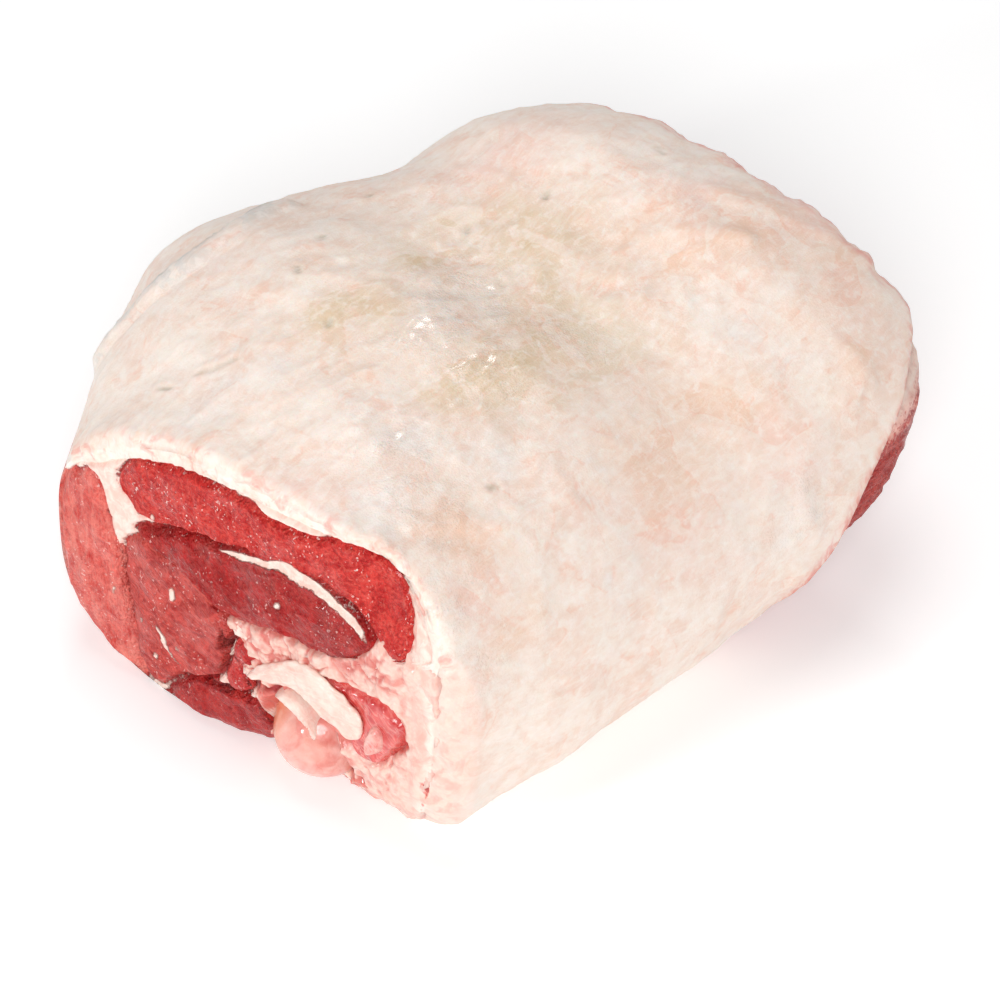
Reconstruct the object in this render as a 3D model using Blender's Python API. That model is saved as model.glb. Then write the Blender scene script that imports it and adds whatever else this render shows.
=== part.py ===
"""A raw, semi-boneless leg of lamb with the shank taken off, lying fat side up.

The leg lies along X. The big cut, through the hip, faces -X, the small cut at the knee faces +X,
and the leg rests on its lean underside at Z = 0. It is built from four solids that never overlap:
the fat cover, the lean meat inside it, the thigh bone that runs through both, and the strap of
sinew on the hip joint. Shapes are worked out in millimetres and stored in metres.
"""

from collections import namedtuple
from math import cos, hypot, pi, radians, sin

import bmesh
import bpy
from mathutils import Vector, noise

MM = 0.001
GAP = 0.35  # clearance between neighbouring solids

# The skin of the leg, as cross-sections from the hip cut to the knee cut. near and far are the
# widths towards -Y and +Y, crown is the highest point and belly the height where it is widest.
Station = namedtuple("Station", "x near far crown_y crown_z belly_z")
STATIONS = (
    Station(-135, -68, 62, -24, 95, 40),
    Station(-108, -74, 76, -23, 102, 41),
    Station(-81, -80, 90, -10, 103, 43),
    Station(-54, -86, 104, 14, 104, 46),
    Station(-22, -91, 115, 30, 104, 48),
    Station(9, -96, 103, 30, 98, 49),
    Station(40, -103, 84, 22, 99, 52),
    Station(72, -105, 78, 14, 101, 53),
    Station(99, -90, 60, 2, 93, 53),
    Station(126, -62, 20, -20, 72, 50),
)
TOP_FULLNESS = 2.4  # exponent of the upper half of a section: 2 is an ellipse
UNDER_FULLNESS = 3.6  # the lower half is squarer, as it lies on the table
DENT_DEPTH = 2.0
DENT_WIDTH = 42.0
FLATTENED = 1.6  # how much of the underside the leg's own weight presses flat

# The middle of the finished leg's footprint, which is moved to X = Y = 0.
CENTRE_X, CENTRE_Y = -4.0, 6.1

# The line inside the leg that every ring is drawn round: Y and Z at the hip, and change along X.
HEART_Y, HEART_Y_PER_X = 11.0, -0.10
HEART_Z, HEART_Z_PER_X = 41.0, 0.03

# The two cuts. Each plane stands at x on the table and leans by so much for each millimetre up.
HIP_X, HIP_LEAN = -108.0, 0.08
HIP_TUCK, HIP_TUCK_HEIGHT = 9.0, 26.0  # the lower near edge of the hip cut curls under
HIP_TUCK_FROM_Y, HIP_TUCK_RUN = 25.0, 40.0
KNEE_X, KNEE_LEAN = 44.0, 0.66
KNEE_BULGE = 9.0
KNEE_LUMP, KNEE_LUMP_SIZE = 1.6, 16.0
KNEE_TRIM = 5.0  # the lean is trimmed this much thinner at the knee cut's near side
TRIM_FROM, TRIM_RUN = radians(165), radians(28)
STEPS_TO_CUT = 24  # halvings of the distance to a cut when its edge is looked for

# The fat cover runs over the top, from an edge on the far side to one under the near side.
FAT_DEPTH = 6.0
FAT_EDGE_DEPTH = 1.2
FAT_TAPER = radians(16)
FAR_EDGE_AT_HIP = radians(20)
FAR_EDGE_AT_KNEE = radians(-22)
NEAR_EDGE = radians(246)
# Towards the knee cut the fat stops short of the lean: a little on top, far more on the near side.
KNEE_RETREAT_ON_TOP, KNEE_RETREAT = 1.5, 36.0
RETREAT_FROM, RETREAT_RUN = radians(154), radians(18)
LIP_ROUNDING = 0.4  # share of the fat's depth that is rounded off where it meets a cut
LIP_DROP = 0.12  # share of the rounding by which the skin has sunk where the lip begins

# The pad of fat that fills the near lower corner of the hip cut, round the joint.
PAD_FROM, PAD_TO = radians(158), radians(239)
PAD_BLUR = radians(7)
PAD_HEART_RADIUS = 13.0  # the pad reaches in to this distance from the heart of the cut
PAD_RUN = 34.0  # how deep into the leg it reaches
PAD_SWELL = 1.5
PAD_LUMP, PAD_LUMP_SIZE = 2.4, 9.0

# Muscles on the hip cut: outline in Y and Z, how far each stands out, and how round its rim is.
Muscle = namedtuple("Muscle", "name bulge rim outline")
MUSCLES = (
    Muscle(
        "upper", 5.0, 10.0,
        ((57, 69), (53, 79), (41, 86), (26, 90), (5, 93), (-14, 97), (-28, 101), (-42, 102),
         (-54, 95), (-60, 82), (-55, 67), (-42, 72), (-28, 78), (-12, 79), (3, 75), (34, 65), (48, 60)),
    ),
    Muscle(
        "middle", 5.5, 10.0,
        ((52, 53), (38, 61), (20, 65), (3, 70), (-12, 73), (-26, 74), (-38, 72), (-43, 66), (-38, 59),
         (-24, 53), (-10, 49), (5, 46), (20, 43), (38, 43)),
    ),
    Muscle(
        "inner", 3.5, 10.0,
        ((50, 48), (38, 40), (24, 40), (8, 43), (2, 38), (5, 26), (-3, 22), (-7, 14), (-6, 4), (12, 0),
         (28, -2), (38, 0), (43, 14), (49, 32)),
    ),
    Muscle(
        "far", 4.5, 11.0,
        ((70, 62), (61, 54), (56, 41), (53, 27), (49, 13), (45, -2), (58, -2), (70, 9), (78, 22),
         (82, 40), (77, 55)),
    ),
)
SEAM_DEPTH = 2.0  # the fat seams between muscles lie this far back from the cut's plane
MUSCLE_ROUNDNESS = 0.7  # below 1 a muscle rises steeply at its rim
CUT_RIM_SHARE = 1 / 6  # outer share of the cut over which its relief fades into the rim
KNEE_RIM_SHARE = 1 / 4

# The thigh bone: its centre line from the ball at the hip to the sawn end at the knee.
BONE_LINE = (
    (-98, -18, 17),
    (-80, -14, 24),
    (-52, -8, 35),
    (-15, -4, 44),
    (30, -6, 49),
    (60, -9, 50),
    (88, -10, 50),
)
BALL_RADIUS = 14.0
BONE_NECK_RADIUS = 8.0
BONE_NECK_END, BONE_NECK_RUN = 25.0, 40.0
BONE_SHAFT_RADIUS = 9.5
BONE_KNEE_RADIUS = 13.5
BONE_KNEE_RUN = 40.0
BED_OVERRUN = 40.0  # the bed that is cut for the bone runs this far out of the knee cut
BONE_SIDES, BONE_STEPS, BALL_STEPS = 20, 26, 6

# The strap of sinew that lies over the joint: centre line on the cut, with a width at each point.
StrapPoint = namedtuple("StrapPoint", "y z width")
STRAP = (
    StrapPoint(5, 30, 4.0),
    StrapPoint(-4, 34, 8.0),
    StrapPoint(-13, 36, 12.5),
    StrapPoint(-22, 35, 15.0),
    StrapPoint(-30, 31, 15.0),
    StrapPoint(-36, 26, 12.5),
)
STRAP_DEPTH = 5.0
STRAP_STANDS_OUT = 1.5
STRAP_END_SQUARENESS, STRAP_END_LEAST = 6, 0.12
STRAP_SIDES, STRAP_STEPS = 14, 16

# How finely the surfaces are divided.
RINGS_ALONG = 18
STEPS_OVER_FAT = 52
STEPS_OVER_LEAN = 20
RINGS_ON_HIP_CUT = 20
RINGS_ON_KNEE_CUT = 7
RINGS_ON_FAT_RIM = 7
SHARP_FROM = radians(40)

Finish = namedtuple("Finish", "colour roughness")
FAT = Finish((0.86, 0.74, 0.63), 0.42)
LEAN = Finish((0.42, 0.035, 0.035), 0.36)
BONE = Finish((0.80, 0.47, 0.42), 0.30)
SINEW = Finish((0.88, 0.78, 0.68), 0.35)


def clamp(value, low=0.0, high=1.0):
    return max(low, min(high, value))


def ease(value):
    """0 below 0, 1 above 1, and a smooth S between."""
    t = clamp(value)
    return t * t * (3 - 2 * t)


def through(xs, ys, x):
    """A smooth curve through the points (xs, ys), read at x."""
    last = len(xs) - 2
    i = next((k for k in range(last + 1) if x < xs[k + 1]), last)

    def slope(k):
        a, b = max(k - 1, 0), min(k + 1, len(xs) - 1)
        if 0 < k < len(xs) - 1:
            before, after = xs[k] - xs[k - 1], xs[k + 1] - xs[k]
            rise_before = (ys[k] - ys[k - 1]) / before
            rise_after = (ys[k + 1] - ys[k]) / after
            return (after * rise_before + before * rise_after) / (before + after)
        return (ys[b] - ys[a]) / (xs[b] - xs[a])

    width = xs[i + 1] - xs[i]
    t = clamp((x - xs[i]) / width)
    return (
        (2 * t**3 - 3 * t**2 + 1) * ys[i]
        + (t**3 - 2 * t**2 + t) * width * slope(i)
        + (3 * t**2 - 2 * t**3) * ys[i + 1]
        + (t**3 - t**2) * width * slope(i + 1)
    )


def section_at(x):
    xs = [s.x for s in STATIONS]
    return Station(x, *(through(xs, [s[k] for s in STATIONS], x) for k in range(1, 6)))


def beyond_skin(section, y, z):
    """Above 0 outside the section, below 0 inside it."""
    half_width = section.far - section.crown_y if y > section.crown_y else section.crown_y - section.near
    above = z > section.belly_z
    half_height = section.crown_z - section.belly_z if above else section.belly_z + FLATTENED
    power = TOP_FULLNESS if above else UNDER_FULLNESS
    across, upward = abs(y - section.crown_y) / half_width, abs(z - section.belly_z) / half_height
    return across**power + upward**power - 1


def heart_at(x):
    return HEART_Y + HEART_Y_PER_X * (x - HIP_X), HEART_Z + HEART_Z_PER_X * (x - HIP_X)


def skin_radius(x, angle):
    """Distance from the heart line to the skin. Angle 0 points to +Y and 90 degrees up."""
    section = section_at(x)
    heart_y, heart_z = heart_at(x)
    inner, outer = 0.0, 200.0
    while outer - inner > 0.001:
        radius = (inner + outer) / 2
        if beyond_skin(section, heart_y + radius * cos(angle), heart_z + radius * sin(angle)) > 0:
            outer = radius
        else:
            inner = radius
    return inner


def leg_point(x, angle, depth=0.0):
    """A point in the leg, depth below the skin, in line with the heart at x."""
    heart_y, heart_z = heart_at(x)
    radius = skin_radius(x, angle)
    outside = Vector((x, heart_y + radius * cos(angle), heart_z + radius * sin(angle)))
    radius += DENT_DEPTH * noise.noise(outside / DENT_WIDTH)
    if heart_z + radius * sin(angle) < 0:
        radius = -heart_z / sin(angle)
    radius -= depth
    return Vector((x, heart_y + radius * cos(angle), heart_z + radius * sin(angle)))


def hip_plane(y, z):
    tuck = HIP_TUCK * clamp(1 - z / HIP_TUCK_HEIGHT) ** 2 * ease((HIP_TUCK_FROM_Y - y) / HIP_TUCK_RUN)
    return HIP_X + HIP_LEAN * z + tuck


def knee_plane(y, z):
    return KNEE_X + KNEE_LEAN * z


def where_cut(plane, start, angle):
    """The x at which the line along the skin at this angle meets a cut."""
    x = start
    for _ in range(STEPS_TO_CUT):
        spot = leg_point(x, angle)
        x = 0.5 * (x + plane(spot.y, spot.z))
    return x


def fat_edges(along):
    """The angles between which the fat covers the leg, along from the hip (0) to the knee (1)."""
    return FAR_EDGE_AT_HIP + (FAR_EDGE_AT_KNEE - FAR_EDGE_AT_HIP) * along, NEAR_EDGE


def retreat(angle):
    """How far the fat stops short of the knee cut."""
    near_side = ease((angle - RETREAT_FROM) / RETREAT_RUN)
    return KNEE_RETREAT_ON_TOP + (KNEE_RETREAT - KNEE_RETREAT_ON_TOP) * near_side


def fat_depth(angle, edges, from_hip, radius):
    """How deep the fat is at this angle, from_hip millimetres into the leg from the hip cut."""
    to_edge = min(angle - edges[0], edges[1] - angle)
    cover = FAT_EDGE_DEPTH + (FAT_DEPTH - FAT_EDGE_DEPTH) * ease(to_edge / FAT_TAPER)
    in_pad = ease((angle - PAD_FROM) / PAD_BLUR + 0.5) * ease((PAD_TO - angle) / PAD_BLUR + 0.5)
    pad = in_pad * (1 - ease(from_hip / PAD_RUN)) * (radius - PAD_HEART_RADIUS - cover)
    return cover + pad


class Layout:
    """Where the rings round the leg lie. The fat cover and the lean share it, so they fit."""

    def __init__(self):
        self.rings = []
        for i in range(RINGS_ALONG + 1):
            edges = fat_edges(i / RINGS_ALONG)
            span, open_span = edges[1] - edges[0], edges[0] + 2 * pi - edges[1]
            covered = [edges[0] + span * j / STEPS_OVER_FAT for j in range(STEPS_OVER_FAT + 1)]
            bare = [edges[1] + open_span * j / STEPS_OVER_LEAN for j in range(1, STEPS_OVER_LEAN)]
            self.rings.append((edges, covered + bare))
        self.hip_x = [where_cut(hip_plane, HIP_X, a) for a in self.rings[0][1]]
        self.knee_x = [where_cut(knee_plane, KNEE_X, a) for a in self.rings[-1][1]]

    def x_at(self, i, j):
        """The last ring is on the knee cut. The one before it is where the fat ends."""
        if i == RINGS_ALONG:
            return self.knee_x[j]
        fat_end = self.knee_x[j] - retreat(self.angle_at(i, j))
        return self.hip_x[j] + i / (RINGS_ALONG - 1) * (fat_end - self.hip_x[j])

    def angle_at(self, i, j):
        return self.rings[i][1][j]

    def depth_at(self, i, j):
        """Depth of the fat at a grid point, or None where the lean is bare."""
        if j > STEPS_OVER_FAT:
            return None
        x, angle = self.x_at(i, j), self.angle_at(i, j)
        radius = skin_radius(x, angle)
        return fat_depth(angle, self.rings[i][0], x - self.hip_x[j], radius)


def lumps(point, height, size):
    """Soft lumps about size across, with lumps half as large on them."""
    return height * (noise.noise(point / size) + 0.5 * noise.noise(point / size * 2))


def inside_by(outline, y, z):
    """How far (y, z) lies inside a closed outline; negative outside."""
    inside, nearest = False, 1e9
    for (ay, az), (by, bz) in zip(outline, outline[1:] + outline[:1]):
        if (az > z) != (bz > z) and y < ay + (z - az) / (bz - az) * (by - ay):
            inside = not inside
        dy, dz = by - ay, bz - az
        t = clamp(((y - ay) * dy + (z - az) * dz) / (dy * dy + dz * dz))
        nearest = min(nearest, hypot(y - ay - t * dy, z - az - t * dz))
    return nearest if inside else -nearest


def cut_relief(y, z):
    """How far the lean stands out of the hip cut's plane: its muscles bulge and its seams sink."""
    height = -SEAM_DEPTH
    for muscle in MUSCLES:
        within = inside_by(muscle.outline, y, z)
        if within > 0:
            risen = ease(within / muscle.rim) ** MUSCLE_ROUNDNESS
            height = max(height, -SEAM_DEPTH + (SEAM_DEPTH + muscle.bulge) * risen)
    return height


def new_solid(name, points, faces, finish):
    mesh = bpy.data.meshes.new(name)
    centre = Vector((CENTRE_X, CENTRE_Y, 0))
    mesh.from_pydata([(p - centre) * MM for p in points], [], faces)
    shape = bmesh.new()
    shape.from_mesh(mesh)
    bmesh.ops.recalc_face_normals(shape, faces=shape.faces)
    shape.to_mesh(mesh)
    shape.free()
    mesh.shade_smooth()
    mesh.set_sharp_from_angle(angle=SHARP_FROM)
    material = bpy.data.materials.new(name)
    material.use_nodes = True
    shader = material.node_tree.nodes["Principled BSDF"]
    shader.inputs["Base Color"].default_value = (*finish.colour, 1.0)
    shader.inputs["Roughness"].default_value = finish.roughness
    shader.inputs["Metallic"].default_value = 0.0
    mesh.materials.append(material)
    solid = bpy.data.objects.new(name, mesh)
    bpy.context.scene.collection.objects.link(solid)
    return solid


def band_faces(first, second, closed=True):
    """Triangles between two rows of point numbers, always split along the same diagonal."""
    count = len(first)
    faces = []
    for j in range(count if closed else count - 1):
        after = (j + 1) % count
        faces.append((first[j], first[after], second[after]))
        faces.append((first[j], second[after], second[j]))
    return faces


def fat_cover(layout):
    """The shell of fat: skin outside, lean's shape inside, with a rounded lip at each cut."""
    points = []
    steps = range(STEPS_OVER_FAT + 1)
    last = RINGS_ALONG - 1

    def row_of(make):
        points.extend(make(j) for j in steps)
        return list(range(len(points) - len(steps), len(points)))

    def skin(i, j, sunk=0.0, shift=0.0):
        return leg_point(layout.x_at(i, j) + shift, layout.angle_at(i, j), sunk)

    def rim(share):
        """A row on the hip cut, share of the way out, lumpy where the pad is."""

        def spot(j):
            depth = layout.depth_at(0, j)
            reach = 1 - LIP_ROUNDING * min(FAT_DEPTH / depth, 1.0)
            point = skin(0, j, depth * (1 - share * reach))
            in_pad = ease((depth - FAT_DEPTH) / FAT_DEPTH)
            swell = in_pad * sin(pi * share) * (PAD_SWELL + lumps(point, PAD_LUMP, PAD_LUMP_SIZE))
            point.x = hip_plane(point.y, point.z) - swell
            return point

        return row_of(spot)

    lip = LIP_ROUNDING * FAT_DEPTH
    inside = [row_of(lambda j, i=i: skin(i, j, layout.depth_at(i, j))) for i in range(last + 1)]
    hip_rim = [rim(k / RINGS_ON_FAT_RIM) for k in range(1, RINGS_ON_FAT_RIM + 1)]
    outside = [row_of(lambda j: skin(0, j, LIP_DROP * lip, lip))]
    outside += [row_of(lambda j, i=i: skin(i, j)) for i in range(1, last)]
    outside.append(row_of(lambda j: skin(last, j, LIP_DROP * lip, -lip)))
    knee_rim = row_of(lambda j: skin(last, j, LIP_ROUNDING * min(FAT_DEPTH, layout.depth_at(last, j))))

    faces = []
    for rows in (inside, [inside[0], *hip_rim, outside[0]], outside, [outside[-1], knee_rim, inside[-1]]):
        for first, second in zip(rows, rows[1:]):
            faces += band_faces(first, second, closed=False)
    # Close the two long edges.
    for side in (0, -1):
        for k in range(last):
            faces.append([row[side] for row in (inside[k], inside[k + 1], outside[k + 1], outside[k])])
        faces.append([row[side] for row in (inside[0], *hip_rim, outside[0])])
        faces.append([row[side] for row in (inside[last], outside[last], knee_rim)])
    return new_solid("fat_cover", points, faces, FAT)


def lean_meat(layout):
    """The lean inside the fat: rings along the leg, with a face at each cut."""
    points = []
    count = STEPS_OVER_FAT + STEPS_OVER_LEAN

    def ring_point(i, j):
        depth = layout.depth_at(i, j)
        x, angle = layout.x_at(i, j), layout.angle_at(i, j)
        if depth is None:
            return leg_point(x, angle)
        trimmed = KNEE_TRIM * ease((angle - TRIM_FROM) / TRIM_RUN) if i == RINGS_ALONG else 0.0
        return leg_point(x, angle, depth + GAP + trimmed)

    rings = [[ring_point(i, j) for j in range(count)] for i in range(RINGS_ALONG + 1)]
    heart = Vector((HIP_X, *heart_at(HIP_X)))
    hip_rim, knee_rim = rings[0], rings[-1]
    knee_heart = sum(knee_rim, Vector()) / count

    rows = []

    def add_row(row):
        rows.append(list(range(len(points), len(points) + len(row))))
        points.extend(row)

    for k in range(1, RINGS_ON_HIP_CUT):
        share = k / RINGS_ON_HIP_CUT
        row = []
        for rim in hip_rim:
            point = heart.lerp(rim, share)
            relief = cut_relief(point.y, point.z) * ease((1 - share) / CUT_RIM_SHARE)
            point.x = hip_plane(point.y, point.z) - relief
            row.append(point)
        add_row(row)
    for ring in rings:
        add_row(ring)
    for k in range(1, RINGS_ON_KNEE_CUT):
        share = k / RINGS_ON_KNEE_CUT
        row = []
        for rim in knee_rim:
            point = rim.lerp(knee_heart, share)
            uneven = lumps(point, KNEE_LUMP, KNEE_LUMP_SIZE) * ease(share / KNEE_RIM_SHARE)
            point.x += KNEE_BULGE * (1 - (1 - share) ** 2) ** 0.5 + uneven
            row.append(point)
        add_row(row)
    faces = []
    for first, second in zip(rows, rows[1:]):
        faces += band_faces(first, second)
    hip_tip, knee_tip = len(points), len(points) + 1
    points.append(Vector((hip_plane(heart.y, heart.z) - cut_relief(heart.y, heart.z), heart.y, heart.z)))
    points.append(knee_heart + Vector((KNEE_BULGE + lumps(knee_heart, KNEE_LUMP, KNEE_LUMP_SIZE), 0, 0)))
    faces += [(rows[0][(j + 1) % count], rows[0][j], hip_tip) for j in range(count)]
    faces += [(rows[-1][j], rows[-1][(j + 1) % count], knee_tip) for j in range(count)]
    return new_solid("lean_meat", points, faces, LEAN)


def smooth_line(points, steps):
    """Points along a smooth curve through the given ones, with the distance travelled."""
    spots = [Vector(p) for p in points]
    travelled = [0.0]
    for a, b in zip(spots, spots[1:]):
        travelled.append(travelled[-1] + (b - a).length)
    line = []
    for step in range(steps + 1):
        s = travelled[-1] * step / steps
        line.append(Vector([through(travelled, [p[k] for p in spots], s) for k in range(len(spots[0]))]))
    return line, [travelled[-1] * k / steps for k in range(steps + 1)]


def bone_radius(s, length):
    """Radius of the thigh bone s along it: a ball, a neck, the shaft, and a wide knee end."""
    ball = max(BALL_RADIUS**2 - s**2, 0.0) ** 0.5
    thickened = ease((s - BONE_NECK_END) / BONE_NECK_RUN)
    neck = BONE_NECK_RADIUS + (BONE_SHAFT_RADIUS - BONE_NECK_RADIUS) * thickened
    knee = (BONE_KNEE_RADIUS - BONE_SHAFT_RADIUS) * ease(1 - (length - s) / BONE_KNEE_RUN)
    return (ball**4 + (neck + knee) ** 4) ** 0.25


def thigh_bone(name, grown):
    """The bone as rings along its line. grown makes it larger all round, for cutting its bed."""
    line, travelled = smooth_line(BONE_LINE, BONE_STEPS)
    length = travelled[-1]
    spots, radii = [], []
    # The round face of the ball, in front of the line's start.
    ahead = (line[0] - line[1]).normalized()
    for k in range(1, BALL_STEPS):
        tilt = pi / 2 * k / BALL_STEPS
        spots.append(line[0] + ahead * (BALL_RADIUS + grown) * cos(tilt))
        radii.append((BALL_RADIUS + grown) * sin(tilt))
    for spot, s in zip(line, travelled):
        spots.append(spot)
        radii.append(bone_radius(s, length) + grown)
    if grown:
        spots.append(line[-1] + (line[-1] - line[-2]).normalized() * BED_OVERRUN)
        radii.append(radii[-1])
    points, rows = [], []
    for k, (spot, radius) in enumerate(zip(spots, radii)):
        along = (spots[min(k + 1, len(spots) - 1)] - spots[max(k - 1, 0)]).normalized()
        across = along.cross(Vector((0, 0, 1))).normalized()
        up = across.cross(along)
        rows.append(list(range(len(points), len(points) + BONE_SIDES)))
        for j in range(BONE_SIDES):
            turn = 2 * pi * j / BONE_SIDES
            points.append(spot + across * radius * cos(turn) + up * radius * sin(turn))
    faces = []
    for first, second in zip(rows, rows[1:]):
        faces += band_faces(first, second)
    tip = len(points)
    points.append(line[0] + ahead * (BALL_RADIUS + grown))
    faces += [(rows[0][(j + 1) % BONE_SIDES], rows[0][j], tip) for j in range(BONE_SIDES)]
    faces.append(rows[-1])
    return new_solid(name, points, faces, BONE)


def sinew_strap(name, grown):
    """The flat strap on the joint: an oval section carried along its line on the cut."""
    line, _ = smooth_line(STRAP, STRAP_STEPS)
    points, rows = [], []
    for k, spot in enumerate(line):
        y, z, width = spot
        before, after = line[max(k - 1, 0)], line[min(k + 1, STRAP_STEPS)]
        along = Vector((0, after.x - before.x, after.y - before.y)).normalized()
        across = Vector((1, 0, 0)).cross(along)
        middle = Vector((hip_plane(y, z) - STRAP_STANDS_OUT, y, z))
        from_middle = 2 * k / STRAP_STEPS - 1
        rounded = max(1 - from_middle**STRAP_END_SQUARENESS, STRAP_END_LEAST) ** 0.5
        rows.append(list(range(len(points), len(points) + STRAP_SIDES)))
        for j in range(STRAP_SIDES):
            turn = 2 * pi * j / STRAP_SIDES
            thick = (STRAP_DEPTH / 2 * rounded + grown) * cos(turn)
            wide = (width / 2 * rounded + grown) * sin(turn)
            points.append(middle + Vector((-thick, 0, 0)) + across * wide)
    faces = []
    for first, second in zip(rows, rows[1:]):
        faces += band_faces(first, second)
    faces += [rows[0][::-1], rows[-1]]
    return new_solid(name, points, faces, SINEW)


def bed_into(solid, *cutters):
    """Cuts each cutter's shape out of a solid, and keeps the result."""
    for cutter in cutters:
        cut = solid.modifiers.new("bed_" + cutter.name, "BOOLEAN")
        cut.operation = "DIFFERENCE"
        cut.solver = "EXACT"
        cut.object = cutter


def hide(*helpers):
    for helper in helpers:
        helper.hide_render = True
        helper.display_type = "WIRE"


def main():
    for old in list(bpy.data.objects):
        bpy.data.objects.remove(old)
    layout = Layout()
    cover = fat_cover(layout)
    lean = lean_meat(layout)
    bone = thigh_bone("thigh_bone", 0.0)
    strap = sinew_strap("joint_sinew", 0.0)
    bone_bed = thigh_bone("bone_bed", GAP)
    strap_bed = sinew_strap("sinew_bed", GAP)
    hide(bone_bed, strap_bed)
    bed_into(cover, bone_bed, strap_bed)
    bed_into(lean, bone_bed, strap_bed)
    bed_into(strap, bone_bed)
    return cover, lean, bone, strap


main()
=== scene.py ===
# %% [markdown]
# # A raw leg of lamb
# This script dresses a packed leg of lamb: a thick joint lying fat side up, with its square cut facing us.
# The plain solids give the size. Here each one gets a fine surface and a wet, raw finish.

# %% Load the solids
from itertools import product
from math import cos, radians, sin

import bpy
import numpy as np
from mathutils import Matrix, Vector, noise


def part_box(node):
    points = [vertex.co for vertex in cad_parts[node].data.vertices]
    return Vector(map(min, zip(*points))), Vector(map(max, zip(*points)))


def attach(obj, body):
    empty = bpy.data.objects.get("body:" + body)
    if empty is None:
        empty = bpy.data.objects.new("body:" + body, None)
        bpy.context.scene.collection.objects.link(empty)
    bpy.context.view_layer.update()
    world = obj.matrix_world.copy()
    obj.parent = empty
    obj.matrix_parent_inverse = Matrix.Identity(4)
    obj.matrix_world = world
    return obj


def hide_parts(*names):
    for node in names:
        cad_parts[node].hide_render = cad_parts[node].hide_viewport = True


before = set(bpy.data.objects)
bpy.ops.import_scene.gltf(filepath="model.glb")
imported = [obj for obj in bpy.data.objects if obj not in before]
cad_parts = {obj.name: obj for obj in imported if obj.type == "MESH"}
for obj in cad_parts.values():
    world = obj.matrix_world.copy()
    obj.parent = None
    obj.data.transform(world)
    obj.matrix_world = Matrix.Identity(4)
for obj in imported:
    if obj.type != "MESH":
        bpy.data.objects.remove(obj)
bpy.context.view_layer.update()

for name in ("fat_cover", "lean_meat", "thigh_bone", "joint_sinew"):
    low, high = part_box(name)
    print(name, "is", " x ".join(f"{side * 1000:.0f}" for side in high - low), "mm")

# %% [markdown]
# ## Smooth random lumps
# Nothing on meat is flat or regular, so nearly every surface below is pushed about by soft noise.
# Space is cut into cubes, each corner gets a fixed random direction, and the values blend between corners.
# Rounded grains, as in soft fat, come from the distance to scattered centres instead.

# %% Noise for whole arrays of points
dice = np.random.default_rng(7)
SHUFFLED = dice.permutation(256)
DIRECTIONS = dice.normal(size=(256, 3))
DIRECTIONS /= np.linalg.norm(DIRECTIONS, axis=1)[:, None]
SCATTER = dice.random((256, 3))


def pick(cells, seed):
    """A fixed random number from 0 to 255 for each cube of space."""
    number = SHUFFLED[(cells[:, 0] + seed) & 255]
    number = SHUFFLED[(number + cells[:, 1]) & 255]
    return SHUFFLED[(number + cells[:, 2]) & 255]


def soft_noise(points, size, seed=0):
    """Values from about -1 to 1, with lumps about size millimetres apart."""
    spot = points / np.asarray(size, float)
    cells = np.floor(spot).astype(int)
    part = spot - cells
    fade = part * part * part * (part * (part * 6 - 15) + 10)
    total = np.zeros(len(points))
    for corner in product((0, 1), repeat=3):
        step = np.array(corner)
        weight = np.prod(np.where(step, fade, 1 - fade), axis=1)
        total += weight * np.sum(DIRECTIONS[pick(cells + step, seed)] * (part - step), axis=1)
    return 1.6 * total


def grains(points, size, seed=0):
    """Distances to the nearest and second nearest of many scattered centres, in grain sizes."""
    spot = points / np.asarray(size, float)
    cells = np.floor(spot).astype(int)
    first = np.full(len(points), 9.0)
    second = first.copy()
    for corner in product((-1, 0, 1), repeat=3):
        neighbour = cells + np.array(corner)
        away = np.linalg.norm(spot - neighbour - SCATTER[pick(neighbour, seed)], axis=1)
        second = np.minimum(second, np.maximum(first, away))
        first = np.minimum(first, away)
    return first, second


def ease(value):
    """0 below 0, 1 above 1, and a smooth S between."""
    t = np.clip(value, 0.0, 1.0)
    return t * t * (3 - 2 * t)


def curve(xs, ys, x):
    """A smooth curve through the points (xs, ys), read at every x."""
    xs, ys = np.asarray(xs, float), np.asarray(ys, float)
    slopes = np.gradient(ys, xs)
    i = np.clip(np.searchsorted(xs, x, side="right") - 1, 0, len(xs) - 2)
    width = xs[i + 1] - xs[i]
    t = np.clip((x - xs[i]) / width, 0, 1)
    return (
        (2 * t**3 - 3 * t**2 + 1) * ys[i]
        + (t**3 - 2 * t**2 + t) * width * slopes[i]
        + (3 * t**2 - 2 * t**3) * ys[i + 1]
        + (t**3 - t**2) * width * slopes[i + 1]
    )


def way_along(line):
    """How far along a bent line each of its corners lies."""
    return np.concatenate(([0], np.cumsum(np.linalg.norm(np.diff(line, axis=0), axis=1))))


def sway(points, size, seeds):
    """Noise in all three directions, with a seed for each."""
    return np.stack([soft_noise(points, size, seed) for seed in seeds], axis=1)


# %% [markdown]
# ## The skin of the leg
# A leg of lamb is a squat, uneven barrel. Its outline is given by ten cross-sections along its length,
# each a squarish oval with its own width, height and middle. Sizes are in millimetres, and X runs from
# the hip cut to the knee. Every point is found by going out from a line inside the leg, the heart line.

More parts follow.
